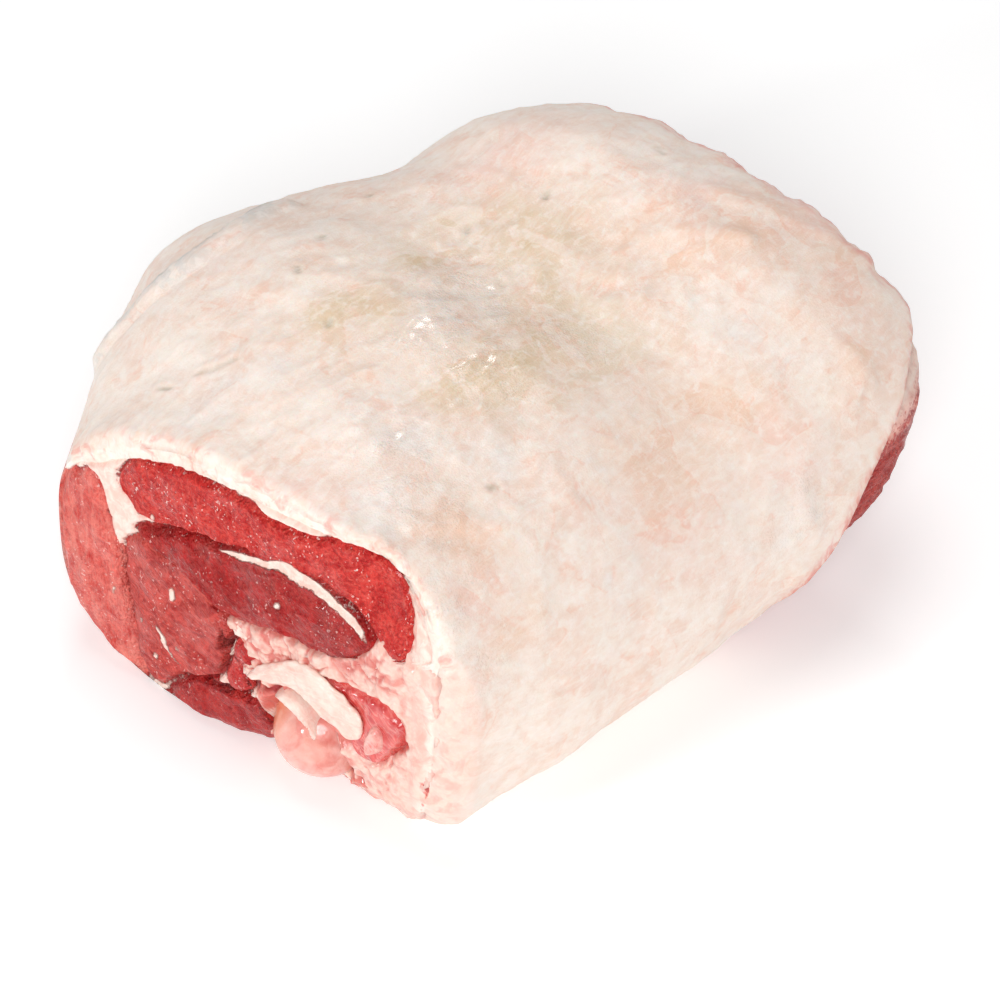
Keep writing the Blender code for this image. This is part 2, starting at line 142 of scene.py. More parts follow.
# %% Sections, cuts and the skin
# One row a section: x, near side, far side, y of the crown, height of the crown, height of the belly
SECTIONS = np.array((
    (-135, -68, 62, -24, 95, 40), (-108, -74, 76, -23, 102, 41), (-81, -80, 90, -10, 103, 43),
    (-54, -86, 104, 14, 104, 46), (-22, -91, 115, 30, 104, 48), (9, -96, 103, 30, 98, 49),
    (40, -103, 84, 22, 99, 52), (72, -105, 78, 14, 101, 53), (99, -90, 60, 2, 93, 53),
    (126, -62, 20, -20, 72, 50),
), float)
TOP_FULLNESS, UNDER_FULLNESS = 2.4, 3.6
FLATTENED = 1.6
DENT_DEPTH, DENT_WIDTH = 2.0, 42.0
CENTRE = np.array((-4.0, 6.1, 0.0))
HIP_X, HIP_LEAN = -108.0, 0.08
HIP_TUCK, TUCK_HEIGHT, TUCK_FROM, TUCK_RUN = 9.0, 26.0, 25.0, 40.0
SET_BACK, SET_BACK_SPREAD, SET_BACK_Y, SET_BACK_Z = 7.0, 17.0, -44.0, 90.0
KNEE_X, KNEE_LEAN, KNEE_BULGE = 44.0, 0.66, 9.0


def heart_line(x):
    """y and z of the heart line at x."""
    return 11.0 - 0.10 * (x - HIP_X), 41.0 + 0.03 * (x - HIP_X)


def skin_radius(x, angle):
    """Distance from the heart line to the skin; angle 0 points to the far side and 90 degrees up."""
    near, far, crown_y, crown_z, belly_z = (curve(SECTIONS[:, 0], SECTIONS[:, k], x) for k in range(1, 6))
    heart_y, heart_z = heart_line(x)
    inner, outer = np.zeros(x.shape), np.full(x.shape, 200.0)
    for _ in range(20):
        middle = (inner + outer) / 2
        y, z = heart_y + middle * np.cos(angle), heart_z + middle * np.sin(angle)
        half_width = np.where(y > crown_y, far - crown_y, crown_y - near)
        half_height = np.where(z > belly_z, crown_z - belly_z, belly_z + FLATTENED)
        power = np.where(z > belly_z, TOP_FULLNESS, UNDER_FULLNESS)
        across, up = np.abs((y - crown_y) / half_width), np.abs((z - belly_z) / half_height)
        beyond = across**power + up**power > 1
        outer, inner = np.where(beyond, middle, outer), np.where(beyond, inner, middle)
    return inner


def from_heart(x, angle, radius):
    heart_y, heart_z = heart_line(x)
    return np.stack((x, heart_y + radius * np.cos(angle), heart_z + radius * np.sin(angle)), axis=-1)


def dented_radius(x, angle):
    """The skin with its broad dents, pressed flat where the leg lies on the table."""
    radius = skin_radius(x, angle)
    spots = from_heart(x, angle, radius).reshape(-1, 3) / DENT_WIDTH
    radius = radius + DENT_DEPTH * np.array([noise.noise(spot) for spot in spots]).reshape(x.shape)
    heart_z = heart_line(x)[1]
    below = np.minimum(np.sin(angle), -1e-6)
    return np.where(heart_z + radius * np.sin(angle) < 0, -heart_z / below, radius)


def hill(y, z, middle_y, middle_z, spread_y, spread_z):
    """1 at the middle, falling softly to 0 all round it."""
    return np.exp(-(((y - middle_y) / spread_y) ** 2) - ((z - middle_z) / spread_z) ** 2)


def hip_plane(y, z):
    """x of the hip cut: it leans, and is tucked in at the bottom and set back at the near top corner."""
    tuck = HIP_TUCK * np.clip(1 - z / TUCK_HEIGHT, 0, 1) ** 2 * ease((TUCK_FROM - y) / TUCK_RUN)
    set_back = SET_BACK * hill(y, z, SET_BACK_Y, SET_BACK_Z, SET_BACK_SPREAD, SET_BACK_SPREAD)
    return HIP_X + HIP_LEAN * z + tuck + set_back


def on_cut(y, z):
    """Spots on a flat cut, as places for noise."""
    return np.stack((0 * y, y, z), axis=-1)


def knee_plane(y, z):
    return KNEE_X + KNEE_LEAN * z


def where_cut(plane, start, angle):
    """x where the skin at each angle meets a cut, found by going back and forth until it settles."""
    x = np.full(angle.shape, start)
    for _ in range(24):
        spot = from_heart(x, angle, dented_radius(x, angle))
        x = 0.5 * (x + plane(spot[:, 1], spot[:, 2]))
    return x


# %% [markdown]
# ## How the fat lies on the lean
# The fat wraps over the top and sides like a saddle and stops low on both sides, so the lean below is bare.
# It is a few millimetres thick, thins to its edges, and swells into a soft pad round the hip joint.
# Fat and lean are built on the same net of rings and columns, so they fit each other closely.

# %% Where fat starts and stops
FAT_DEPTH, FAT_EDGE_DEPTH, FAT_TAPER, GAP = 6.0, 1.2, radians(16), 0.35
FAR_EDGE, FAR_EDGE_TURN, NEAR_EDGE = radians(20), radians(-42), radians(246)
PAD_FROM, PAD_TO, PAD_BLUR = radians(158), radians(239), radians(7)
PAD_HEART, PAD_RUN = 13.0, 34.0
FAT_SHARE = 17 / 18  # the fat ends this far along the columns, and the last part is bare lean
KNEE_TRIM, TRIM_FROM, TRIM_RUN = 5.0, radians(165), radians(28)
THIN_BY, THIN_AT, THIN_SPREAD, THIN_RUN = 3.0, radians(132), radians(15), 25.0
END_GAP, SHORT_BY, SHORT_FROM, SHORT_RUN = 1.5, 34.5, radians(154), radians(18)


def column_angles(share, along):
    """Angles of the columns: share runs 0 to 1 over the fat, then 1 to 2 over the bare lean."""
    far = FAR_EDGE + FAR_EDGE_TURN * along
    bare = far + 2 * np.pi - NEAR_EDGE
    return np.where(share <= 1, far + (NEAR_EDGE - far) * share, NEAR_EDGE + bare * (share - 1))


def fat_depth(angle, along, from_hip, radius):
    """How thick the fat is; on the pad it reaches almost to the heart line."""
    far = FAR_EDGE + FAR_EDGE_TURN * along
    to_edge = np.minimum(angle - far, NEAR_EDGE - angle)
    cover = FAT_EDGE_DEPTH + (FAT_DEPTH - FAT_EDGE_DEPTH) * ease(to_edge / FAT_TAPER)
    cover -= THIN_BY * np.exp(-(((angle - THIN_AT) / THIN_SPREAD) ** 2)) * (1 - ease(from_hip / THIN_RUN))
    return cover + pad_share(angle) * (1 - ease(from_hip / PAD_RUN)) * (radius - PAD_HEART - cover)


def pad_share(angle):
    """1 where the pad of soft fat fills the cut, 0 elsewhere."""
    return ease((angle - PAD_FROM) / PAD_BLUR + 0.5) * ease((PAD_TO - angle) / PAD_BLUR + 0.5)


class Net:
    """Columns that run from the hip cut to the knee cut, with the x of every crossing."""

    def __init__(self, shares):
        self.shares = shares
        self.hip_x = where_cut(hip_plane, HIP_X, column_angles(shares, 0.0))
        self.knee_angle = column_angles(shares, 1.0)
        self.knee_x = where_cut(knee_plane, KNEE_X, self.knee_angle)

    def lay(self, rows):
        """x and angle for rows from 0 at the hip to 1 where the fat ends, and 2 at the knee cut."""
        rows = rows[:, None]
        along = np.where(rows <= 1, rows * FAT_SHARE, FAT_SHARE + (rows - 1) * (1 - FAT_SHARE))
        angle = column_angles(self.shares[None, :], along)
        fat_end = self.knee_x - END_GAP - SHORT_BY * ease((angle - SHORT_FROM) / SHORT_RUN)
        x = self.hip_x + np.minimum(rows, 1) * (fat_end - self.hip_x)
        x = x + np.clip(rows - 1, 0, 1) * (self.knee_x - fat_end)
        return x, angle, along + 0 * x


# %% [markdown]
# ## From rows of points to a mesh
# Each surface is a sheet of points in rows, joined by squares, and sheets of different fineness are joined by
# fans of triangles. Values such as how olive or how pink the fat is are stored on the points for the finish.

# %% Mesh helpers
def new_object(name, data):
    made = bpy.data.objects.new(name, data)
    bpy.context.scene.collection.objects.link(made)
    return made


class Sheet:
    """Collects points and faces for one piece."""

    def __init__(self):
        self.points, self.faces, self.count = [], [], 0

    def rows(self, grid):
        """Takes in rows of points and gives back their numbers."""
        grid = np.asarray(grid, float)
        numbers = self.count + np.arange(grid.shape[0] * grid.shape[1]).reshape(grid.shape[:2])
        self.points.append(grid.reshape(-1, 3))
        self.count += numbers.size
        return numbers

    def fill(self, numbers, around=False, flip=False):
        """Squares between neighbouring rows; around also joins the last column to the first."""
        if around:
            numbers = np.concatenate((numbers, numbers[:, :1]), axis=1)
        a, b, c, d = numbers[:-1, :-1], numbers[:-1, 1:], numbers[1:, 1:], numbers[1:, :-1]
        quads = np.stack((a, b, c, d), axis=-1).reshape(-1, 4)
        self.faces += quads[:, ::-1].tolist() if flip else quads.tolist()

    def fan(self, fine, coarse, flip=False):
        """Joins a fine row of points to a coarse one that has every nth of its columns."""
        ratio = (len(fine) - 1) // (len(coarse) - 1)
        for k in range(len(coarse) - 1):
            for i in range(ratio):
                hub = coarse[k] if i < ratio / 2 else coarse[k + 1]
                face = [hub, fine[k * ratio + i], fine[k * ratio + i + 1]]
                self.faces.append(face[::-1] if flip else face)
                if i < ratio / 2 <= i + 1:
                    face = [coarse[k], fine[k * ratio + i + 1], coarse[k + 1]]
                    self.faces.append(face[::-1] if flip else face)

    def tube(self, rings, flip=False):
        """Closed rings joined into a tube with a flat face at each end."""
        numbers = self.rows(rings)
        self.fill(numbers, around=True, flip=flip)
        first, last = numbers[0].tolist(), numbers[-1].tolist()
        self.faces += [first, last[::-1]] if flip else [first[::-1], last]

    def make(self, name, paints=None):
        """Builds the piece in place, smooth, riding on the leg."""
        points = (np.concatenate(self.points) - CENTRE) * 0.001
        mesh = bpy.data.meshes.new(name)
        mesh.from_pydata(points.tolist(), [], self.faces)
        for paint, values in (paints or {}).items():
            layer = mesh.attributes.new(paint, "FLOAT", "POINT")
            layer.data.foreach_set("value", np.ascontiguousarray(values, np.float32))
        mesh.shade_smooth()
        piece = new_object(name, mesh)
        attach(piece, "root")
        triangles = sum(len(face) - 2 for face in self.faces)
        print(f"{name}: {triangles} triangles")
        return piece


# %% [markdown]
# ## Marks on the fat
# The skin of the fat has soft tinted patches, a few short dark nicks left by the knife, and raised folds.
# Each is given by where it lies on the leg. Patches fade out softly, and noise bends their edges.

# %% Patches, nicks and folds on the fat
# One entry a tint: how far its patches reach, and their middles. Nicks and folds are lines through spots.
PATCH = {
    "olive": (16, ((32, 10, 98), (15, -13, 96), (-8, -20, 99), (14, -28, 95), (9, 31, 98), (-30, -20, 102),
                   (-34, 26, 105))),
    "beige": (12, ((-72, -47, 97), (9, -65, 85), (25, -71, 85), (79, -62, 92), (64, -80, 87), (51, -14, 99),
                   (82, -37, 97), (57, -20, 100), (66, -30, 99), (-52, 10, 104), (-12, -63, 88),
                   (-74, -68, 72))),
    "pink": (12, ((47, 41, 98), (66, 36, 100), (73, -15, 100), (-29, -77, 79), (-14, -87, 69), (24, -90, 73),
                  (77, -74, 89), (-98, -13, 103), (-84, -60, 88), (88, -40, 90), (70, -84, 70))),
    "blue": (10, ((-85, -30, 102), (-82, 34, 98), (44, -63, 90), (-75, 30, 101), (-43, -40, 98),
                  (-60, -17, 103), (-40, -78, 76), (-40, 83, 92), (-58, 91, 81))),
    "white": (14, ((-30, 63, 101), (17, -26, 95), (-61, 2, 104), (-55, -69, 84),
                   (19, -97, 59), (87, -6, 98), (82, 12, 99), (-75, 60, 90))),
    "glitter": (13, ((-2, 15, 100), (-3, 3, 99), (-25, 3, 104), (-66, -21, 102), (5, -20, 96), (-93, -58, 91),
                     (-92, -71, 75), (-80, -41, 99), (22, -98, 59), (-25, -20, 102))),
}
NICKS = (
    ((-66, 40, 101), (-72, 43, 99), (-75, 47, 97)), ((-81, 52, 93), (-82, 56, 92)),
    ((-81, 70, 82), (-80, 72, 81)), ((-30, 48, 104), (-28, 50, 104)), ((15, 62, 94), (17, 63, 94)),
    ((-51, -17, 102), (-47, -19, 102)), ((9, 4, 98), (10, 6, 98)), ((20, 27, 98), (22, 28, 98)),
    ((45, 18, 99), (47, 19, 99)), ((83, 6, 99), (82, 3, 99)),
    ((-56, -45, 97), (-54, -46, 97)), ((-41, 27, 104), (-39, 28, 104)), ((-14, 55, 101), (-12, 56, 101)),
)
FOLDS = (
    ((35, -18, 97), (48, -16, 99), (57, -20, 100), (65, -28, 100), (69, -38, 98)),
    ((23, -21, 96), (33, -27, 96)),
    ((61, -75, 89), (60, -91, 80), (51, -90, 79)), ((22, -95, 65), (22, -97, 62), (24, -99, 49)),
    ((-82, -40, 98), (-60, -54, 94), (-40, -60, 91)), ((76, -10, 99), (86, -30, 96), (90, -50, 90)),
)
FLAP = ((-72, 96, 66), (-60, 91, 80), (-50, 87, 88), (-40, 82, 93), (-27, 79, 96), (-12, 79, 95), (-2, 79, 92))


def off_line(points, line):
    """Distance from each point to a line through the given spots."""
    nearest = np.full(len(points), 1e9)
    for start, end in zip(np.array(line[:-1], float), np.array(line[1:], float)):
        step = end - start
        t = np.clip((points - start) @ step / (step @ step), 0, 1)
        nearest = np.minimum(nearest, np.linalg.norm(points - start - t[:, None] * step, axis=1))
    return nearest


def fat_marks(points):
    """Tint strengths from 0 to 1, and the height that the marks add, for points on the skin."""
    warp = sway(points, 17, (11, 12, 13)) + 0.4 * sway(points, 6, (14, 15, 16))
    marks = {}
    for tint, (spread, spots) in PATCH.items():
        bare = np.ones(len(points))
        for spot in spots:
            away = np.linalg.norm(points + 9 * warp - np.array(spot), axis=1)
            bare *= 1 - np.exp(-((away / spread) ** 2))
        marks[tint] = 1 - bare
    nick = np.min([off_line(points + 0.9 * warp, line) for line in NICKS], axis=0)
    fold = np.min([off_line(points + 2.0 * warp, line) for line in FOLDS], axis=0)
    flap = off_line(points + 1.2 * warp, FLAP)
    marks["nick"] = np.exp(-((nick / 0.9) ** 2))
    marks["flap"] = ease((4.5 - flap) / 1.5)
    height = -0.7 * marks["nick"] + 0.25 * np.exp(-(((nick - 2.2) / 1.2) ** 2))
    height += 1.0 * np.exp(-((fold / 3.4) ** 2)) + 2.6 * ease((4.0 - flap) / 1.4)
    return marks, height


# %% [markdown]
# ## Outlines on the cut
# The saw and knife went straight through the hip, so several muscles show. Each is given by its outline on
# the cut, in millimetres across and up. How far a spot lies inside an outline gives its height and its colour.

# %% Helpers for outlines
def rounded(outline, steps=5):
    """A closed outline with smooth curves between its corners."""
    corner = np.array(outline, float)
    before, after, next_one = np.roll(corner, 1, 0), np.roll(corner, -1, 0), np.roll(corner, -2, 0)
    t = (np.arange(steps) / steps)[None, :, None]
    p0, p1, p2, p3 = (c[:, None, :] for c in (before, corner, after, next_one))
    squared, cubed = 2 * p0 - 5 * p1 + 4 * p2 - p3, 3 * p1 - p0 - 3 * p2 + p3
    smooth = 0.5 * (2 * p1 + (p2 - p0) * t + squared * t**2 + cubed * t**3)
    return smooth.reshape(-1, 2)


def to_step(start, end, y, z):
    """How far along a straight step each (y, z) lies, 0 to 1, and its distance from the step."""
    (ay, az), (by, bz) = start, end
    run, rise = by - ay, bz - az
    t = np.clip(((y - ay) * run + (z - az) * rise) / (run**2 + rise**2 + 1e-9), 0, 1)
    return t, np.hypot(y - ay - t * run, z - az - t * rise)


def inside_by(outline, y, z):
    """How far each (y, z) lies inside a closed outline; below 0 outside."""
    inside = np.zeros(y.shape, bool)
    nearest = np.full(y.shape, 1e9)
    for (ay, az), (by, bz) in zip(outline, np.roll(outline, -1, axis=0)):
        if az != bz:
            inside ^= ((az > z) != (bz > z)) & (y < ay + (z - az) / (bz - az) * (by - ay))
        nearest = np.minimum(nearest, to_step((ay, az), (by, bz), y, z)[1])
    return np.where(inside, nearest, -nearest)


def along_line(line, widths, y, z):
    """Half width minus the distance to a line whose half width changes: above 0 on the strip."""
    best = np.full(y.shape, -1e9)
    spots = list(zip(line, widths))
    for (start, wide), (end, wide_next) in zip(spots, spots[1:]):
        t, away = to_step(start, end, y, z)
        best = np.maximum(best, wide + (wide_next - wide) * t - away)
    return best


# %% [markdown]
# ## The fat cover
# The cover is a closed shell: a fine outer skin, the cut face, and a coarse inside that nobody sees. On the
# cut it is a pale rim over the meat, and round the hip joint it swells into soft curds with red crevices. The
# inner edge of the cut face dives under the meat, so the border between the two is uneven, as it is in life.

# %% Build the fat cover
SKIN_ROWS, SKIN_COLUMNS, COARSER = 180, 312, 6
RIM_ROWS, LIP, PAD_LIP = 84, 3.6, 5.0
OVERLAP, SINK = 2.2, 2.4
BALL_ON_CUT = ((-6, 24), (-5, 13), (-8, 5), (-16, 0), (-26, 2), (-33, 8), (-36, 17), (-32, 27), (-22, 32),
               (-13, 30))
SOCKET = ((-24, 47), (-33, 49), (-41, 50), (-49, 51), (-55, 48), (-55, 41), (-52, 33), (-47, 27), (-39, 26),
          (-30, 34), (-16, 34), (-14, 42))
BALL_HOLLOW, SLIT_HOLLOW = 5.5, 3.0
# Slits in the soft fat: a line of spots, and half the width at each
CORNER_SLIT = ((-67, 34), (-65.5, 28.7), (-66.8, 25), (-66, 20), (-64.7, 14)), (0.4, 2.0, 1.6, 2.2, 1.0)
NEAR_SLIT = 5.0
SLITS = (
    (((3, 21), (-2, 27), (-10, 32)), (1.2, 2.2, 1.2)),
    (((-70, 34), (-67, 28), (-65, 22), (-63, 13), (-63, 8)), (0.8, 2.0, 1.8, 1.6, 1.0)),
    (((-52, 50), (-56, 40), (-50, 30)), (0.4, 1.0, 0.4)),
    (((-40, 12), (-35, 22), (-28, 30)), (0.5, 1.2, 0.6)),
)


def skin_relief(points):
    """Broad swells, long wrinkles and a fine unevenness, in millimetres."""
    bent = points + 5 * sway(points, 19, (17, 18, 19))
    relief = 1.0 * soft_noise(points, 26, 22) + 0.5 * soft_noise(bent, 11, 23)
    wrinkles = 1 - np.abs(soft_noise(bent, (20, 8, 8), 21))
    relief += 0.45 * (wrinkles**3 - 0.4)
    return relief + 0.14 * soft_noise(bent, 3.6, 24) + 0.05 * soft_noise(points, 1.7, 25)


def curds(y, z):
    """Height of the soft fat on the cut, how deep in a crevice each spot is, and where it is smooth."""
    spots = on_cut(y, z)
    bent = spots + 3.0 * sway(spots, 8, (63, 64, 65)) + 1.1 * sway(spots, 2.8, (69, 70, 72))
    first, second = grains(bent, 7.5, 66)
    small, small_second = grains(bent, 3.3, 67)
    curdled = ease(0.5 + 1.1 * soft_noise(spots, 13, 68) + (y + 36) / 36)
    smooth = ease((-50 - y) / 14)
    gap, small_gap = ease((second - first) / 0.25), ease((small_second - small) / 0.3)
    height = (0.5 + 0.9 * curdled) * (1 - first**2) * (0.4 + 0.6 * gap)
    height += 0.75 * curdled * (1 - small**2) * (0.35 + 0.65 * small_gap)
    folds = 1 - np.abs(soft_noise(bent * (1, 1, 0.45), 4.5, 62))
    height += (1 - curdled) * (1 - 0.7 * smooth) * 0.9 * folds**3 + 0.4 * soft_noise(spots, 2.4, 60)
    height = height * (1 - 0.7 * smooth) + 1.3 * soft_noise(spots, 15, 61) + 0.5 * smooth
    crevice = curdled * (0.8 * (1 - gap) + 0.4 * (1 - small_gap))
    crevice += 0.6 * (1 - curdled) * ease((0.62 - folds) / 0.3)
    by_ball = inside_by(rounded(BALL_ON_CUT), y, z)
    ball = ease(by_ball / 4 + 0.5)
    crevice += 0.9 * np.exp(-((by_ball / 6) ** 2)) * ease(soft_noise(spots, 3, 73) + 0.6)
    ball = np.maximum(ball, 0.5 * ease(inside_by(rounded(SOCKET), y, z) / 4 + 0.5))
    slit = np.max([along_line(line, widths, bent[:, 1], bent[:, 2]) for line, widths in SLITS], axis=0)
    open_slit = ease(slit / 1.6 + 0.35)
    crevice = np.clip(crevice * (1 - smooth), 0, 1) + 1.5 * open_slit
    return 0.4 + height - BALL_HOLLOW * ball - SLIT_HOLLOW * open_slit, crevice, smooth


def build_fat_cover():
    shares = np.linspace(0, 1, SKIN_COLUMNS + 1)
    net = Net(shares)
    even = np.linspace(0, 1, SKIN_ROWS + 1)
    x, angle, along = net.lay(0.6 * even + 0.4 * even**2)
    radius = dented_radius(x, angle)
    depth = fat_depth(angle, along, x - net.hip_x, skin_radius(x, angle))
    in_pad = pad_share(angle)
    sheet = Sheet()

    # Skin: the relief fades out at the long edges, and both ends are rounded and ragged.
    flat = from_heart(x, angle, radius).reshape(-1, 3)
    marks, mark_height = fat_marks(flat)
    relief = (skin_relief(flat) + mark_height).reshape(x.shape)
    relief *= ease(np.minimum(shares, 1 - shares) * 60)
    lip_at_hip = LIP + PAD_LIP * in_pad
    from_end = np.minimum((x - x[0]) / lip_at_hip, (x[-1] - x) / LIP)
    lip = np.minimum(np.where(x - x[0] < x[-1] - x, lip_at_hip, LIP), 0.45 * depth)
    sunk = lip * (1 - np.sqrt(1 - (1 - np.clip(from_end, 0, 1)) ** 2))
    off_floor = ease((heart_line(x)[1] + radius * np.sin(angle)) / 3)
    outer = from_heart(x, angle, radius + relief * off_floor - sunk)
    ragged = 1.2 * soft_noise(flat, (60, 6, 6), 26) + 0.6 * soft_noise(flat, (60, 2, 2), 27)
    outer[..., 0] += ragged.reshape(x.shape) * (1 - ease((x - x[0]) / 9))
    torn = 2.4 * soft_noise(flat, (60, 10, 10), 28) + 0.7 * soft_noise(flat, (60, 2.6, 2.6), 29)
    outer[..., 0] += torn.reshape(x.shape) * (1 - ease((x[-1] - x) / 12))
    skin = sheet.rows(outer)
    sheet.fill(skin)

    # The cut face, from the buried inner edge of the fat out to the lip.
    steps = np.linspace(0, 1, RIM_ROWS + 1)[1:-1, None]
    deep = depth[0] + OVERLAP + (lip[0] - depth[0] - OVERLAP) * steps
    rim = from_heart(x[0] + 0 * deep, angle[0] + 0 * deep, radius[0] - deep)
    y, z = rim[..., 1].reshape(-1), rim[..., 2].reshape(-1)
    spots = on_cut(y, z)
    soft, crevice, smooth = curds(y, z)
    soft, crevice, smooth = (values.reshape(deep.shape) for values in (soft, crevice, smooth))
    pad = pad_share(angle[0]) * ease((deep - lip[0]) / 6)
    fine = (0.4 * soft_noise(spots, 3.2, 31) + 0.2 * soft_noise(spots, 1.3, 32)).reshape(deep.shape)
    buried = ease((deep - depth[0] - 0.5 - 0.6 * fine) / 1.2)
    height = (0.35 + fine) * (1 - pad) + (soft - 0.2) * pad - SINK * buried
    rim[..., 0] = hip_plane(rim[..., 1], rim[..., 2]) - height + (outer[0, :, 0] - x[0]) * steps * (1 - pad)
    face = sheet.rows(rim)

    # The coarse inside.
    inner_rows = np.arange(0, SKIN_ROWS + 1, COARSER)
    inner_columns = np.arange(0, SKIN_COLUMNS + 1, COARSER)
    some = np.ix_(inner_rows, inner_columns)
    inner = from_heart(x[some], angle[some], (radius - depth)[some])
    inner[0] = from_heart(x[some][0] + SINK, angle[some][0], (radius - depth)[some][0] - OVERLAP)
    inside = sheet.rows(inner)
    sheet.fill(inside, flip=True)
    sheet.fill(np.concatenate((face, skin[:1])))
    sheet.fan(face[0], inside[0], flip=True)
    sheet.fan(skin[-1], inside[-1])
    sheet.fan(skin[:, 0], inside[:, 0])
    sheet.fan(skin[:, -1], inside[:, -1], flip=True)
    # Close the narrow ends of the cut face.
    for side in (0, -1):
        corner = [skin[0, side], *face[::-1, side], inside[0, side]]
        sheet.faces.append(corner if side else corner[::-1])

    # Values for the finish: on the skin, on the cut face, and 0 or far away inside.
    rest = sheet.count - x.size - deep.size

    def paint(on_skin, on_rim, inside=0.0):
        parts = on_skin + 0 * x, on_rim + 0 * deep, np.full(rest, inside)
        return np.concatenate([part.reshape(-1) for part in parts])

    on_pad = in_pad * (1 - ease((x - x[0]) / (lip_at_hip * 1.3)))
    torn_end = 1 - ease((x[-1] - x) / (8 + 8 * ease((angle - TRIM_FROM) / TRIM_RUN)))
    opened = np.clip(crevice, 0, 1) * pad + np.clip(crevice - 1, 0, 1) * pad_share(angle[0])
    # The slit at the lowest corner runs over the edge on to the skin: above NEAR_SLIT on it, in millimetres.
    slit_on_skin = along_line(*CORNER_SLIT, flat[:, 1], flat[:, 2]).reshape(x.shape) - 0.3 * (x - x[0])
    slit_on_rim = along_line(*CORNER_SLIT, y, z).reshape(deep.shape)
    paints = {tint: paint(values.reshape(x.shape), 0.0) for tint, values in marks.items()}
    paints["cut_rim"] = paint(1 - ease((x - x[0]) / 5), 1.0)
    paints["pad"] = paint(on_pad * 0.6, pad)
    paints["crevice"] = paint(0.0, opened)
    paints["slit"] = np.clip(paint(slit_on_skin, slit_on_rim, -9.0) + NEAR_SLIT, 0, None)
    paints["smooth"] = paint(1.0, smooth)
    paints["torn_end"] = paint(torn_end, 0.0)
    return sheet.make("fat_cover_skin", paints)


fat = build_fat_cover()
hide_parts("fat_cover")

# %% [markdown]
# ## The muscles on the cut
# Each muscle is a flat cushion: it rises steeply at its outline and then only slowly to its middle. Narrow
# deep seams part the muscles, darkened with painted shade; where they lie further apart, white fat fills in.
# A white strip of sheath lies on the middle muscle, and small hollows open towards the joint.

# %% Outlines of the muscles and the look of the cut
# One entry a muscle: how far it stands out, how wide its rounded edge is, and its outline
MUSCLES = {
    "upper": (1.8, 1.5, (
        (53, 72), (52, 78), (48, 83), (42, 87), (36, 89), (26, 92), (18, 93), (8, 94), (-4, 93.5), (-13, 93.5),
        (-22, 96), (-30, 99), (-37, 98.5), (-44, 96), (-49, 91), (-53, 84), (-55, 77), (-54, 70), (-51, 67),
        (-46, 69.5), (-39, 74), (-32, 78), (-24, 81), (-15, 81.6), (-8, 80), (-1, 77.6), (10, 74.4),
        (26, 69.5), (37, 66), (44, 65), (48, 67.5),
    )),
    "middle": (2.4, 2.4, (
        (47, 58), (36, 64.5), (25, 68.5), (16, 72), (4, 75.6), (-5, 78.4), (-14, 80.6), (-24, 80), (-33, 76.6),
        (-40, 73), (-43, 68.5), (-39, 63), (-32, 57.5), (-24, 55.5), (-14, 54), (-3, 50.5), (8, 47.5),
        (16, 48), (22, 51), (28, 53), (36, 55),
    )),
    "inner": (1.6, 2.2, (
        (50, 51), (42, 57), (34, 56), (27, 54.5), (21, 52.5), (15, 48), (11, 45.5), (9, 39), (12, 31), (12, 25),
        (17, 18), (24, 14), (31, 8), (37, 2), (43, 3), (47, 17), (49, 30), (51, 41),
    )),
    "strip": (1.6, 2.2, (
        (35, -4), (32, 4), (25, 12), (20, 16), (14, 18), (8, 17.5), (2, 19.5), (-4, 21), (-6.5, 16), (-4, 2),
        (0, -5), (16, -8),
    )),
    "lobe": (2.0, 2.4, (
        (8, 40), (2, 40), (-3, 38), (-4, 34), (-1, 29), (1, 24), (5, 20), (10, 20), (11.5, 25), (9, 33),
    )),
    "far": (1.8, 2.6, (
        (65, 69), (70, 66), (80, 64), (92, 50), (94, 30), (88, 12), (78, -4), (60, -9), (44, -8), (43, 2),
        (45, 12), (47.5, 20), (50, 29), (51.5, 38), (53, 46), (56, 52), (58, 59), (61, 66),
    )),
}
SHEATH = ((13, 72.4), (9, 73.4), (4, 74.6), (-2, 76.8), (-8, 79.2), (-13, 80.4), (-18, 80.2), (-23, 79.4),
          (-27, 78.2), (-31, 76.2), (-35, 74.0), (-38, 72.2), (-41, 69.6))
SHEATH_WIDTH = (0.3, 0.9, 1.2, 1.3, 1.6, 2.0, 1.8, 1.6, 1.5, 1.3, 1.1, 0.8, 0.3)
STREAK, STREAK_WIDTH = ((37, 27), (34, 25), (31, 21), (28, 16)), (0.2, 0.9, 0.7, 0.2)
# Specks of fat: middle and size. Hollows: from, to, and half the width at the end
SPECKS = ((31, 44, 1.2), (30.3, 42.6, 0.9), (-10, 66, 0.8), (37, 15, 0.9), (54, 30, 0.6), (43, 26, 0.6),
          (28, 24, 0.5), (39, 68, 0.5))
HOLLOWS = ((12, 42, 12, 33, 1.8), (22, 15, 10, 17, 1.0), (0, 22.5, -6, 21, 1.6))
SEAM_DEPTH, SHALLOW, MEET_BY, MEET_BLUR = 2.4, 0.5, 3.2, 2.2
SHEATH_HEIGHT, HOLLOW_DEPTH = 1.7, 3.2
OUTSIDE = -9.0


